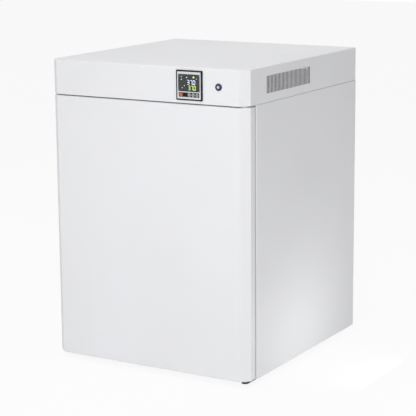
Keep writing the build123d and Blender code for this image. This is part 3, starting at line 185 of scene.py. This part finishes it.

# Head: one folded cover with rows of slots in its sides and back, under the same enamel. A primer
# alone covers its inner side and the slots' cut edges, painted near black as shade seen in the
# slots.

head_low, head_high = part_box("control_head")
vent_middle = head_high.z - 0.03325  # of the slots' height in the solid
vent_half = 0.0230  # a little over half the height of a slot
vent_drop = 0.0110  # the slots lie this much lower than in the solid
vent_back = 0.0050  # and the side ones this much further back
first_slot = head_low.y + 0.0966  # middle of the foremost side slot of the solid
slot_pitch = 0.0070
slot_more = 0.0003  # each side slot is this much wider on both edges
corner_deep = 0.0250  # from the face to behind the slanted front corners
bend = 0.0032  # outer radius of a fold, with a little to spare
skin = 0.00015  # from the outer surface to where the primer starts
weld = 0.000005  # points nearer than this to each other are one
# Near black: painted shade for the dark inside of the head, seen through the slots.
primer_shade_dark = (0.010, 0.010, 0.011)
primer_shade_light = (0.020, 0.020, 0.021)


def moved_vents(name, source):
    """A copy of the head's shell: each corner of a slot, which is any point behind the front
    corners and between the slots' ends, moves by the same step, and a side slot's two long edges
    move apart along Y, so every face stays flat."""
    mesh = source.data.copy()
    mesh.name = name
    places = np.empty(3 * len(mesh.vertices), np.float32)
    mesh.vertices.foreach_get("co", places)
    places = places.reshape(-1, 3)
    in_height = abs(places[:, 2] - vent_middle) < vent_half
    slots = in_height & (places[:, 1] > head_low.y + corner_deep)
    in_side = abs(places[:, 0]) > head_high.x - bend
    sides = slots & in_side & (places[:, 1] < head_high.y - 2 * bend)
    places[slots, 2] -= vent_drop
    turns = (places[sides, 1] - first_slot) / slot_pitch
    places[sides, 1] += vent_back + slot_more * np.sign(turns - np.round(turns))
    mesh.vertices.foreach_set("co", places.ravel())
    shell = bmesh.new()
    shell.from_mesh(mesh)
    bmesh.ops.remove_doubles(shell, verts=shell.verts, dist=weld)
    shell.to_mesh(mesh)
    shell.free()
    piece = bpy.data.objects.new(name, mesh)
    bpy.context.scene.collection.objects.link(piece)
    return piece


def primed_and_shaded(place):
    """Enamel outside, and near-black primer as painted shade at any point that lies deeper than the
    skin of the folded box, leaving out its rounded edges and slanted corners."""
    coats = enamel(place)
    east = place.along("X")
    across = east.maths("ABSOLUTE", east)
    back = place.along("Y") - head_low.y
    depth = head_high.y - head_low.y
    inside = (1.0 - across.over(head_high.x - skin)) * (1.0 - back.over(depth - skin))
    clear = back.over(corner_deep) * (1.0 - place.along("Z").over(head_high.z - bend))
    corner = 1.0 - across.over(head_high.x - bend) * back.over(depth - bend)
    # Painted shade: the primer is near black so that the inside reads dark through the slots.
    primer_shade = place.grain(120.0, detail=3.0).tint(primer_shade_dark, primer_shade_light)
    coats["Base_Color"] = (inside * clear * corner).tint(coats["Base_Color"], primer_shade)
    return coats


head_cover = moved_vents("head_cover", nodes["control_head"])
finish("enamel_over_primer_and_shade", primed_and_shaded, head_cover, Specular_IOR_Level=enamel_shine)
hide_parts("control_head")
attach(head_cover, "case")

# Zinc-plated steel: hinge brackets, the tap's lever and the pan-head screws round the rear panel,
# with the faint rainbow and spangle of bright plating. The lower bracket is painted near black,
# a painted shade for the gap under the door's hinge corner.

zinc_blue = (0.56, 0.57, 0.58)
zinc_yellow = (0.62, 0.60, 0.54)
# Near black: painted shade for the dark gap under the door's lower hinge corner.
zinc_shade_dark = (0.020, 0.022, 0.020)
zinc_shade_light = (0.050, 0.054, 0.048)


def zinc(place):
    """Bluish and yellowish plating in small clouds, rougher and raised where the spangle is."""
    spangle = place.grain(240.0, detail=3.0)
    cloud = place.grain(40.0)
    return {
        "Base_Color": cloud.blur(0.3, 0.7).tint(zinc_blue, zinc_yellow),
        "Roughness": 0.26 + 0.22 * spangle,
        "Normal": place.bump(spangle, deep=0.00005, strength=0.4),
    }


def shaded_zinc(place):
    """The same plating with its colour painted near black, a little lighter in patches: painted
    shade for the gap under the door.
    """
    coats = zinc(place)
    coats["Base_Color"] = place.grain(60.0, detail=3.0).tint(zinc_shade_dark, zinc_shade_light)
    return coats


finish(
    "zinc_plate",
    zinc,
    "rear_screws",
    "upper_hinge_bracket",
    "valve_lever",
    Metallic=1.0,
)
finish("black_zinc", shaded_zinc, "lower_hinge_bracket", Metallic=0.5)

# Brushed stainless sheet: front frame, chamber liner, tank, door liner, racks and fan cover. The
# grain runs one way, and pressed sheet is a little cloudy.

sheet_dark = (0.50, 0.50, 0.49)
sheet_light = (0.70, 0.70, 0.69)
lines_across = (12.0, 900.0, 1400.0)  # waves in a metre along X, Y and Z
lines_deep = (1300.0, 10.0, 1300.0)


def brushed(place, lines_run):
    """Stainless with its grain lines along the coordinate that has the fewest waves."""
    lines = place.stretched(*lines_run).grain(1.0, detail=4.0, roughness=0.7)
    cloud = place.grain(7.0)
    return {
        "Base_Color": (0.6 * lines + 0.4 * cloud).tint(sheet_dark, sheet_light),
        "Roughness": 0.24 + 0.20 * lines + 0.08 * cloud,
        "Normal": place.bump(lines, deep=0.00006, strength=0.5),
    }


finish(
    "stainless_across",
    lambda place: brushed(place, lines_across),
    "front_frame",
    "door_liner",
    "water_jacket",
    "heater_plate",
    Metallic=1.0,
)
finish(
    "stainless_deep",
    lambda place: brushed(place, lines_deep),
    "chamber_liner",
    "fan_cover",
    "left_rack",
    "right_rack",
    "glass_hinge_posts",
    Metallic=1.0,
)

# Stainless wire and turned stainless: shelves, shafts, probes and pipes, drawn and then polished
# in an acid bath, so that it is smooth with shallow pits.

wire_dark = (0.60, 0.60, 0.59)
wire_light = (0.70, 0.70, 0.69)


def drawn(place):
    """Even bright metal, whose pits are duller and lie deeper."""
    pits = place.grain(1500.0).blur(0.58, 0.75)
    cloud = place.grain(35.0)
    return {
        "Base_Color": cloud.tint(wire_dark, wire_light),
        "Roughness": 0.20 + 0.12 * cloud + 0.15 * pits,
        "Normal": place.bump(pits, deep=-0.00004, strength=0.5),
    }


finish(
    "drawn_stainless",
    drawn,
    "lower_shelf",
    "middle_shelf",
    "upper_shelf",
    "fan_shaft",
    "shaft_tube",
    "heater_element",
    "temperature_probe",
    "drain_pipe",
    "valve_ball",
    "filler_elbow",
    "overflow_pipe",
    Metallic=1.0,
)

# Cast and turned aluminium: the fan's wheel and the clips that hold the glass door, bare metal with
# a fine grit.

cast_dark = (0.66, 0.67, 0.68)
cast_light = (0.76, 0.76, 0.77)


def cast(place):
    """Pale metal in faint clouds, with a fine raised grit."""
    grit = place.grain(1100.0, detail=3.0)
    cloud = place.grain(30.0)
    return {
        "Base_Color": cloud.tint(cast_dark, cast_light),
        "Roughness": 0.34 + 0.2 * grit,
        "Normal": place.bump(grit, deep=0.00008, strength=0.5),
    }


finish("aluminium", cast, "fan_wheel", "glass_clips", Metallic=1.0)

# Turned brass: the drain tap's body and the level probe, with fine turning marks and a skin that
# has gone dull in places.

brass_bright = (0.74, 0.56, 0.28)
brass_dull = (0.52, 0.37, 0.19)
turning_run = (60.0, 2600.0, 60.0)  # waves in a metre along X, Y and Z


def turned_brass(place):
    """Bright brass that goes over to a dull brown in patches, with fine turning marks."""
    marks = place.stretched(*turning_run).grain(1.0)
    tarnish = place.grain(120.0, detail=3.0)
    return {
        "Base_Color": tarnish.blur(0.35, 0.75).tint(brass_bright, brass_dull),
        "Roughness": 0.22 + 0.2 * tarnish + 0.1 * marks,
        "Normal": place.bump(marks, deep=0.00005, strength=0.4),
    }


finish("turned_brass", turned_brass, "drain_valve", "level_probe", Metallic=1.0)

# Rigid foam: blocks cut to fit between the case and the tank and inside the door, cream, with
# their cells laid open by the saw.

# The cells' middles are painted darker: painted shade in the hollows.
foam_pit_shade = (0.62, 0.53, 0.32)
foam_rib = (0.84, 0.76, 0.54)


def cut_foam(place):
    """Cells about 2.4 mm wide, deep in their middle and darker there as painted shade,
    pale and raised at their walls.
    """
    cells = place.node("ShaderNodeTexVoronoi", {}, "Distance", Vector=place, Scale=420.0)
    cloud = place.grain(14.0)
    return {
        "Base_Color": (cells + 0.4 * cloud).blur(0.1, 1.1).tint(foam_pit_shade, foam_rib),
        "Roughness": 0.85 + 0.1 * cloud,
        "Normal": place.bump(cells, deep=0.0008, strength=0.7),
    }


finish("cut_foam", cut_foam, "case_foam", "door_foam")

# Glass door: one tempered pane with polished edges, a little green, and a few finger smears that
# are duller than the rest.

pane_green = (0.86, 0.95, 0.92)
smear_run = (9.0, 9.0, 5.0)  # waves in a metre along X, Y and Z


def float_glass(place):
    """Polished all over, and a little rougher in the smears."""
    smear = place.stretched(*smear_run).grain(1.0, detail=4.0).blur(0.55, 0.8)
    return {"Roughness": 0.015 + 0.06 * smear}


finish(
    "float_glass",
    float_glass,
    "glass_pane",
    Base_Color=pane_green,
    Transmission_Weight=1.0,
    IOR=1.47,
)

# Rubber and silicone: the magnetic door gasket, the glass door's seal and the feet, matt with
# a fine grain, and paler where wax has come to the surface.

gasket_grey = (0.52, 0.52, 0.53), (0.62, 0.62, 0.62)
seal_white = (0.70, 0.69, 0.66), (0.80, 0.79, 0.76)
foot_black = (0.030, 0.030, 0.031), (0.075, 0.073, 0.070)


def rubber(place, plain_shade, waxy_shade):
    """Matt with a fine grain, and in the waxy shade in broad patches."""
    skin_grain = place.grain(700.0, detail=3.0)
    bloom = place.grain(18.0, detail=3.0).blur(0.4, 0.7)
    return {
        "Base_Color": bloom.tint(plain_shade, waxy_shade),
        "Roughness": 0.55 + 0.25 * skin_grain,
        "Normal": place.bump(skin_grain, deep=0.00012, strength=0.5),
    }


finish("gasket_rubber", lambda place: rubber(place, *gasket_grey), "door_gasket")
finish("silicone", lambda place: rubber(place, *seal_white), "glass_seal")
finish("black_rubber", lambda place: rubber(place, *foot_black), "feet")

# Moulded plastic: grey finger pull, nylon bushes, and the black parts of knob, catch, relay, cap,
# cord gland and controller, all with a fine spark-eroded grain. The fan motor's paint is alike.

pull_grey = (0.55, 0.55, 0.57), (0.62, 0.62, 0.64)
nylon = (0.76, 0.75, 0.70), (0.83, 0.82, 0.77)
soot_black = (0.020, 0.020, 0.023), (0.038, 0.038, 0.041)
bezel_black = (0.006, 0.006, 0.007), (0.012, 0.012, 0.013)
motor_grey = (0.11, 0.12, 0.14), (0.15, 0.16, 0.18)


def moulded(place, low, high, rough=0.42):
    """A fine raised grain, and two close shades where the melt has flowed."""
    grain = place.grain(1800.0)
    flow = place.grain(22.0, detail=3.0)
    return {
        "Base_Color": flow.blur(0.3, 0.75).tint(low, high),
        "Roughness": rough + 0.16 * grain,
        "Normal": place.bump(grain, deep=0.00007, strength=0.55),
    }


finish("grey_moulding", lambda place: moulded(place, *pull_grey), "door_grip")
finish(
    "natural_nylon",
    lambda place: moulded(place, *nylon),
    "door_bushes",
    "shaft_bearings",
)
finish(
    "black_moulding",
    lambda place: moulded(place, *soot_black),
    "glass_knob",
    "glass_catch",
    "heater_relay",
    "controller_housing",
    "filler_cap",
    "cord_gland",
)
finish(
    "black_bezel",
    lambda place: moulded(place, *bezel_black, rough=0.5),
    "controller_bezel",
    Specular_IOR_Level=0.22,
)
finish("motor_paint", lambda place: moulded(place, *motor_grey, rough=0.35), "fan_motor")

# Control board: green solder mask over copper tracks, with dark parts soldered on top. It stands
# on the case's deck, inside the head.

mask_dark = (0.02, 0.20, 0.07)
mask_light = (0.04, 0.30, 0.11)
parts_dark = (0.05, 0.06, 0.09)
parts_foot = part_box("control_board")[0].z + 0.0098  # just above the board's upper side


def board(place):
    """Square-cornered cells as tracks under the mask, and one dark shade above the board."""
    tracks = place.node(
        "ShaderNodeTexVoronoi", {"distance": "MANHATTAN"}, "Distance", Vector=place, Scale=130.0
    )
    mask = tracks.blur(0.28, 0.34).tint(mask_dark, mask_light)
    return {
        "Base_Color": place.along("Z").over(parts_foot).tint(mask, parts_dark),
        "Roughness": 0.32 + 0.2 * tracks,
        "Normal": place.bump(tracks, deep=0.0001, strength=0.4),
    }


finish("circuit_board", board, "control_board")

# Controller: a panel instrument 72 mm square. Its black bezel frames a satin silver face, with a
# smoked window above and a strip of four keys below.

silver_dark = (0.60, 0.61, 0.62)
silver_light = (0.72, 0.73, 0.74)
film_run = (40.0, 1.0, 1800.0)  # waves in a metre along X, Y and Z
smoke_dark = (0.012, 0.014, 0.018)
smoke_light = (0.022, 0.025, 0.031)


def front_middle(name):
    """x and z of the middle of a node that faces the front."""
    low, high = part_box(name)
    return (low.x + high.x) / 2, (low.z + high.z) / 2


def silver(place):
    """Satin silver with faint level lines, more metallic where it is paler."""
    film = place.stretched(*film_run).grain(1.0, detail=3.0)
    return {
        "Base_Color": film.tint(silver_dark, silver_light),
        "Roughness": 0.30 + 0.15 * film,
        "Metallic": 0.35 + 0.2 * film,
    }


def smoked(place):
    """Nearly black plastic with a faint haze, duller where it is paler."""
    haze = place.grain(60.0, detail=3.0)
    return {
        "Base_Color": haze.tint(smoke_dark, smoke_light),
        "Roughness": 0.05 + 0.08 * haze,
    }


finish("silver_face", silver, "controller_face")
finish("smoked_window", smoked, "display_lens", Coat_Weight=0.4)

# Lit figures and lamps in the smoked window: seven-segment figures for the measured and the set
# temperature, and small round lamps round them.

controller_x, controller_z = front_middle("controller_bezel")
lens_low, lens_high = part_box("display_lens")
lit_depth = 0.00012  # what is lit stands this far out of the window
window_front = lens_low.y - lit_depth
lit_white = (0.64, 0.68, 0.92)
lit_lime = (0.56, 0.78, 0.14)
lit_cyan = (0.12, 0.52, 0.58)
lit_pale = (0.60, 0.62, 0.66)
lit_amber = (0.66, 0.46, 0.08)
edge_light = 0.82  # the dimmest part of a segment, as a share of its colour
stroke = 0.0012  # width of a segment

# Each corner of a figure lies on a grid one wide and two high, and each segment joins two.
segment_ends = {
    "a": ((0, 2), (1, 2)),
    "b": ((1, 2), (1, 1)),
    "c": ((1, 1), (1, 0)),
    "d": ((0, 0), (1, 0)),
    "e": ((0, 1), (0, 0)),
    "f": ((0, 2), (0, 1)),
    "g": ((0, 1), (1, 1)),
}
figures = {"0": "abcdef", "3": "abcdg", "7": "abc"}

# Measured in strokes: the gap between figures, how far a full stop lies before the next figure,
# its radius, and how far a segment stays short of its corners.
figure_gap = 2.6
stop_back = 1.3
stop_round = 0.7
tip_short = 0.15


def prism(name, outlines, front, depth):
    """Flat tiles standing out of a wall: each outline is a ring of (x, z) points, and each point is
    repeated at the front and at front + depth, with the ring's sides joined by four-sided faces."""
    corners = []
    faces = []
    for outline in outlines:
        ring = np.asarray(outline, float)
        count = len(ring)
        start = sum(len(c) for c in corners)
        for y in (front, front + depth):
            corners.append(np.column_stack([ring[:, 0], np.full(count, y), ring[:, 1]]))
        here = np.arange(count)
        after = np.roll(here, -1)
        faces.append(tuple(start + here))
        faces.append(tuple(start + count + here[::-1]))
        sides = np.column_stack([here, here + count, after + count, after]) + start
        faces.extend(map(tuple, sides))
    mesh = bpy.data.meshes.new(name)
    mesh.from_pydata(np.concatenate(corners), [], faces)
    mesh.validate()
    piece = bpy.data.objects.new(name, mesh)
    bpy.context.scene.collection.objects.link(piece)
    return piece


def disc(x, z, radius, count=24):
    """A ring of points round (x, z), counter-clockwise as seen from the front."""
    turn = np.arange(count) * 2 * pi / count
    return np.column_stack([x + radius * np.cos(turn), z + radius * np.sin(turn)])


def segment(start, end):
    """A bar with pointed ends: its tips lie on the line from start to end, a little short of
    both, and its four shoulders half a stroke in from the tips and half a stroke to each side."""
    way = (end - start) / np.linalg.norm(end - start)
    side = np.array([-way[1], way[0]]) * stroke / 2
    first = start + way * stroke * tip_short
    last = end - way * stroke * tip_short
    taper = way * stroke / 2
    shoulders = [first + taper - side, last - taper - side]
    return [first, *shoulders, last, last - taper + side, first + taper + side]


def seven_segments(text, left, low, wide, high):
    """Outlines of figures side by side, from the lower left corner of the first one: each lit
    segment is a bar, and a full stop is a small disc before the next figure."""
    outlines = []
    column = 0
    for sign in text:
        x = left + column * (wide + figure_gap * stroke)
        if sign == ".":
            outlines.append(disc(x - stop_back * stroke, low, stop_round * stroke, count=10))
            continue
        for name in figures[sign]:
            start, end = np.array(segment_ends[name]) * (wide, high / 2) + (x, low)
            outlines.append(segment(start, end))
        column += 1
    return outlines


def glow(name, shade, strength, piece):
    """A lit plastic segment: its own light, a little uneven from edge to edge."""

    def paint(place):
        patch = place.grain(500.0, detail=1.0)
        return {"Emission_Color": patch.tint(tuple(edge_light * c for c in shade), shade)}

    finish(name, paint, piece, Base_Color=shade, Roughness=0.4, Emission_Strength=strength)


# Each row of figures: left and low from the controller's middle, width and height of a figure,
# name of its paint, colour and strength.
figure_rows = {
    "measured_figures": (-0.0045, 0.0025, 0.0050, 0.0100, "lit_white", lit_white, 1.0),
    "chosen_figures": (-0.0015, -0.0105, 0.0045, 0.0095, "lit_lime", lit_lime, 0.9),
}
for row_name, (left, low, wide, high, paint_name, shade, strength) in figure_rows.items():
    outlines = seven_segments("37.0", controller_x + left, controller_z + low, wide, high)
    row = prism(row_name, outlines, window_front, lit_depth)
    glow(paint_name, shade, strength, row)
    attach(row, "case")

# Each lamp: x and z from the controller's middle, radius and colour.
lamp_strength = 0.9
lamps = {
    "lamp_heat": (-0.0210, 0.0205, 0.0014, lit_cyan),
    "lamp_run": (-0.0210, 0.0140, 0.0012, lit_pale),
    "lamp_hold": (-0.0060, 0.0190, 0.0013, lit_lime),
    "lamp_fan": (0.0130, 0.0200, 0.0022, lit_lime),
    "lamp_unit": (0.0210, 0.0165, 0.0012, lit_cyan),
    "lamp_alarm": (-0.0125, -0.0010, 0.0012, lit_amber),
    "lamp_set": (-0.0185, -0.0060, 0.0013, lit_cyan),
}
for lamp_name, (x, z, radius, shade) in lamps.items():
    outline = disc(controller_x + x, controller_z + z, radius)
    lamp = prism(lamp_name, [outline], window_front, lit_depth)
    glow("lit_" + lamp_name, shade, lamp_strength, lamp)
    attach(lamp, "case")

# Window border: a black line printed on the silver face round the smoked window, as thick as one
# layer of ink.

border_wide = 0.0014
ink_high = 0.00004  # print stands out by this much, and goes in by as much
border_ink = (0.008, 0.008, 0.009), (0.016, 0.016, 0.017)


def frame_tiles(low, high, wide):
    """Four mitred tiles round a rectangle: each joins two of its corners to two further out."""
    near = np.array([(low.x, low.z), (high.x, low.z), (high.x, high.z), (low.x, high.z)])
    far = near + wide * np.array([(-1, -1), (1, -1), (1, 1), (-1, 1)])
    return np.stack([near, far, np.roll(far, -1, axis=0), np.roll(near, -1, axis=0)], axis=1)


border = prism(
    "window_border",
    frame_tiles(lens_low, lens_high, border_wide),
    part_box("controller_face")[0].y - ink_high,
    2 * ink_high,
)
finish("border_ink", lambda place: moulded(place, *border_ink), border)
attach(border, "case")

# Keys: one orange and three grey round caps in a black strip, with a printed dark symbol on each:
# a ring, and arrows that point left, down and up.

key_orange = (0.66, 0.15, 0.03), (0.78, 0.20, 0.05)
key_grey = (0.40, 0.41, 0.42), (0.50, 0.51, 0.52)
strip_black = (0.012, 0.013, 0.016)
symbol_worn = (0.08, 0.085, 0.09)
cap_round = 0.0041  # radius of the coloured cap
cap_edge = 0.0002  # half the width over which it turns black
ring_inner = 0.0014  # radii of the printed ring
ring_outer = 0.0024
arrow_size = 0.0054

# An arrow that points up, one high: the left end of its head, its shaft, the head's right end and
# the tip.
arrow_points = np.array(
    [(-0.45, 0), (-0.16, 0), (-0.16, -0.5), (0.16, -0.5), (0.16, 0), (0.45, 0), (0, 0.5)]
)


def band(x, z, inner, outer, count=16):
    """A flat ring as a row of four-sided tiles between two circles."""
    turn = np.linspace(0.0, 2 * pi, count + 1)
    near = np.column_stack([x + inner * np.cos(turn), z + inner * np.sin(turn)])
    far = np.column_stack([x + outer * np.cos(turn), z + outer * np.sin(turn)])
    return np.stack([near[:-1], far[:-1], far[1:], near[1:]], axis=1)


def arrow(x, z, size, turn):
    """An arrow's outline, turned about its middle: each point (u, v) goes to
    (u cos - v sin, u sin + v cos)."""
    u, v = arrow_points.T
    c, s = cos(turn) * size, sin(turn) * size
    return np.column_stack([x + u * c - v * s, z + u * s + v * c])


def reach(place, x, z):
    """Distance from the line along Y through (x, z)."""
    east = place.along("X") - x
    rise = place.along("Z") - z
    return place.maths("SQRT", east * east + rise * rise)


def round_cap(place, x, z, shades):
    """A key whose coloured cap is round: outside the circle it is as black as the strip."""
    coats = moulded(place, *shades, rough=0.30)
    rim = reach(place, x, z).blur(cap_round - cap_edge, cap_round + cap_edge)
    coats["Base_Color"] = rim.tint(coats["Base_Color"], strip_black)
    return coats


# Each key's colours and the turn of its arrow; the first key has a ring instead.
keys = {
    "set_key": (key_orange, None),
    "shift_key": (key_grey, pi / 2),
    "down_key": (key_grey, pi),
    "up_key": (key_grey, 0.0),
}
symbols = []
for key_name, (shades, turn) in keys.items():
    x, z = front_middle(key_name)
    finish(key_name + "_cap", lambda place: round_cap(place, x, z, shades), key_name)
    if turn is None:
        outlines = band(x, z, ring_inner, ring_outer)
    else:
        outlines = [arrow(x, z, arrow_size, turn)]
    key_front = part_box(key_name)[0].y
    symbol = prism(key_name + "_symbol", outlines, key_front - ink_high, 2 * ink_high)
    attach(symbol, key_name)
    symbols.append(symbol)
finish("key_ink", lambda place: moulded(place, strip_black, symbol_worn, rough=0.5), *symbols)

# Power switch: a glossy navy collar that is held in the head's front by a nut, with a push button
# whose pale middle lets a lamp show.

switch_x, switch_z = front_middle("power_button")
navy_dark = (0.012, 0.018, 0.070)
navy_light = (0.022, 0.030, 0.100)
button_navy = (0.015, 0.022, 0.085)
button_pale = (0.58, 0.66, 0.62)
pale_inner = 0.0018  # radius of the button's pale middle
pale_outer = 0.0042  # radius at which it has faded to navy
lacquer = 0.5  # weight of the clear coat


def navy(place):
    """Dark blue in small swirls, glossy under a clear coat."""
    swirl = place.grain(90.0, detail=3.0)
    return {
        "Base_Color": swirl.tint(navy_dark, navy_light),
        "Roughness": 0.12 + 0.12 * swirl,
    }


def lit_cap(place):
    """A pale round middle that fades to navy."""
    core = 1.0 - reach(place, switch_x, switch_z).blur(pale_inner, pale_outer)
    return {
        "Base_Color": core.tint(button_navy, button_pale),
        "Roughness": 0.10 + 0.1 * core,
    }


finish("navy_collar", navy, "power_switch", Coat_Weight=lacquer)
finish("lit_cap", lit_cap, "power_button", Coat_Weight=lacquer)

# Studio: a white floor that keeps a soft shadow, a plain bright room, a large soft lamp at the
# front right, another above, and two small ones low on the right that light the case's foot.

floor_half = 12.0
floor_shade = (0.90, 0.90, 0.90, 1.0)
floor_glow = 0.90  # share of plain white in what is seen of the floor
room_white = (1.0, 1.0, 1.0, 1.0)
room_glow = 0.43  # strength of the room's light; it is seen at a strength of 1
middle = (0.0, 0.0, 0.4)


def floor_sheet(half):
    """A flat square under the object: two parameters from -half to half give x and y."""
    edge = np.linspace(-half, half, 2)
    x, y = np.meshgrid(edge, edge)
    corners = np.column_stack([x.ravel(), y.ravel(), np.zeros(4)])
    mesh = bpy.data.meshes.new("studio_floor")
    mesh.from_pydata(corners, [], [(0, 1, 3, 2)])
    piece = bpy.data.objects.new("studio_floor", mesh)
    bpy.context.scene.collection.objects.link(piece)
    return piece


def shown(tree):
    """1 for a ray that is seen, straight or in metal or glass, and 0 for one that lights."""
    path = tree.nodes.new("ShaderNodeLightPath").outputs
    straight = Coat(tree, path["Is Camera Ray"])
    mirrored = straight.maths("MAXIMUM", straight, Coat(tree, path["Is Glossy Ray"]))
    return mirrored.maths("MAXIMUM", mirrored, Coat(tree, path["Is Transmission Ray"]))


floor = floor_sheet(floor_half)
floor_paint = bpy.data.materials.new("studio_floor")
floor_paint.use_nodes = True
floor_tree = floor_paint.node_tree
floor_matt = floor_tree.nodes["Principled BSDF"]
floor_matt.inputs["Base Color"].default_value = floor_shade
floor_matt.inputs["Roughness"].default_value = 0.9
floor_matt.inputs["Specular IOR Level"].default_value = 0.0
floor_white = floor_tree.nodes.new("ShaderNodeEmission")
floor_white.inputs["Strength"].default_value = 1.0
floor_mix = floor_tree.nodes.new("ShaderNodeMixShader")
floor_end = floor_tree.nodes["Material Output"]
floor_tree.links.new((shown(floor_tree) * floor_glow).socket, floor_mix.inputs[0])
floor_tree.links.new(floor_matt.outputs[0], floor_mix.inputs[1])
floor_tree.links.new(floor_white.outputs[0], floor_mix.inputs[2])
floor_tree.links.new(floor_mix.outputs[0], floor_end.inputs["Surface"])
floor.data.materials.append(floor_paint)

room = bpy.data.worlds.new("studio_room")
bpy.context.scene.world = room
room.use_nodes = True
room_tree = room.node_tree
room_light = room_tree.nodes["Background"]
room_light.inputs["Color"].default_value = room_white
room_strength = room_glow + (1.0 - room_glow) * shown(room_tree)
room_tree.links.new(room_strength.socket, room_light.inputs["Strength"])


def soft_lamp(name, place, aim, size, power):
    """A square area lamp at a place, turned to face its aim."""
    lamp = bpy.data.lights.new(name, "AREA")
    lamp.shape = "SQUARE"
    lamp.size = size
    lamp.energy = power
    stand = bpy.data.objects.new(name, lamp)
    bpy.context.scene.collection.objects.link(stand)
    stand.location = place
    stand.rotation_euler = (Vector(aim) - Vector(place)).to_track_quat("-Z", "Y").to_euler()
    stand.visible_camera = False


soft_lamp("front_lamp", place=(1.35, -3.75, 1.7), aim=middle, size=2.2, power=78.0)
soft_lamp("top_lamp", place=(-0.2, -0.2, 3.2), aim=middle, size=2.4, power=23.0)
soft_lamp("side_lamp", place=(0.80, -0.08, 0.04), aim=(0.28, -0.05, 0.02), size=0.45, power=0.35)
soft_lamp("foot_lamp", place=(0.52, -0.05, 0.02), aim=(0.28, -0.05, 0.0), size=0.25, power=0.24)

bpy.context.scene.view_settings.view_transform = "Standard"

# Camera: in front of the right-hand corner and a little above the top, far off with a long lens,
# so that upright edges stay almost parallel.

camera_place = (1.983, -3.386, 1.182)
camera_turn = radians(30.52)
camera_dip = radians(11.77)
camera_tilt = radians(-0.46)
camera_lens = bpy.data.cameras.new("camera")
camera_lens.lens = 130.95
camera_lens.sensor_width = 36.0
camera = bpy.data.objects.new("camera", camera_lens)
bpy.context.scene.collection.objects.link(camera)
camera.matrix_world = (
    Matrix.Translation(camera_place)
    @ Matrix.Rotation(camera_turn, 4, "Z")
    @ Matrix.Rotation(pi / 2 - camera_dip, 4, "X")
    @ Matrix.Rotation(camera_tilt, 4, "Z")
)
bpy.context.scene.camera = camera
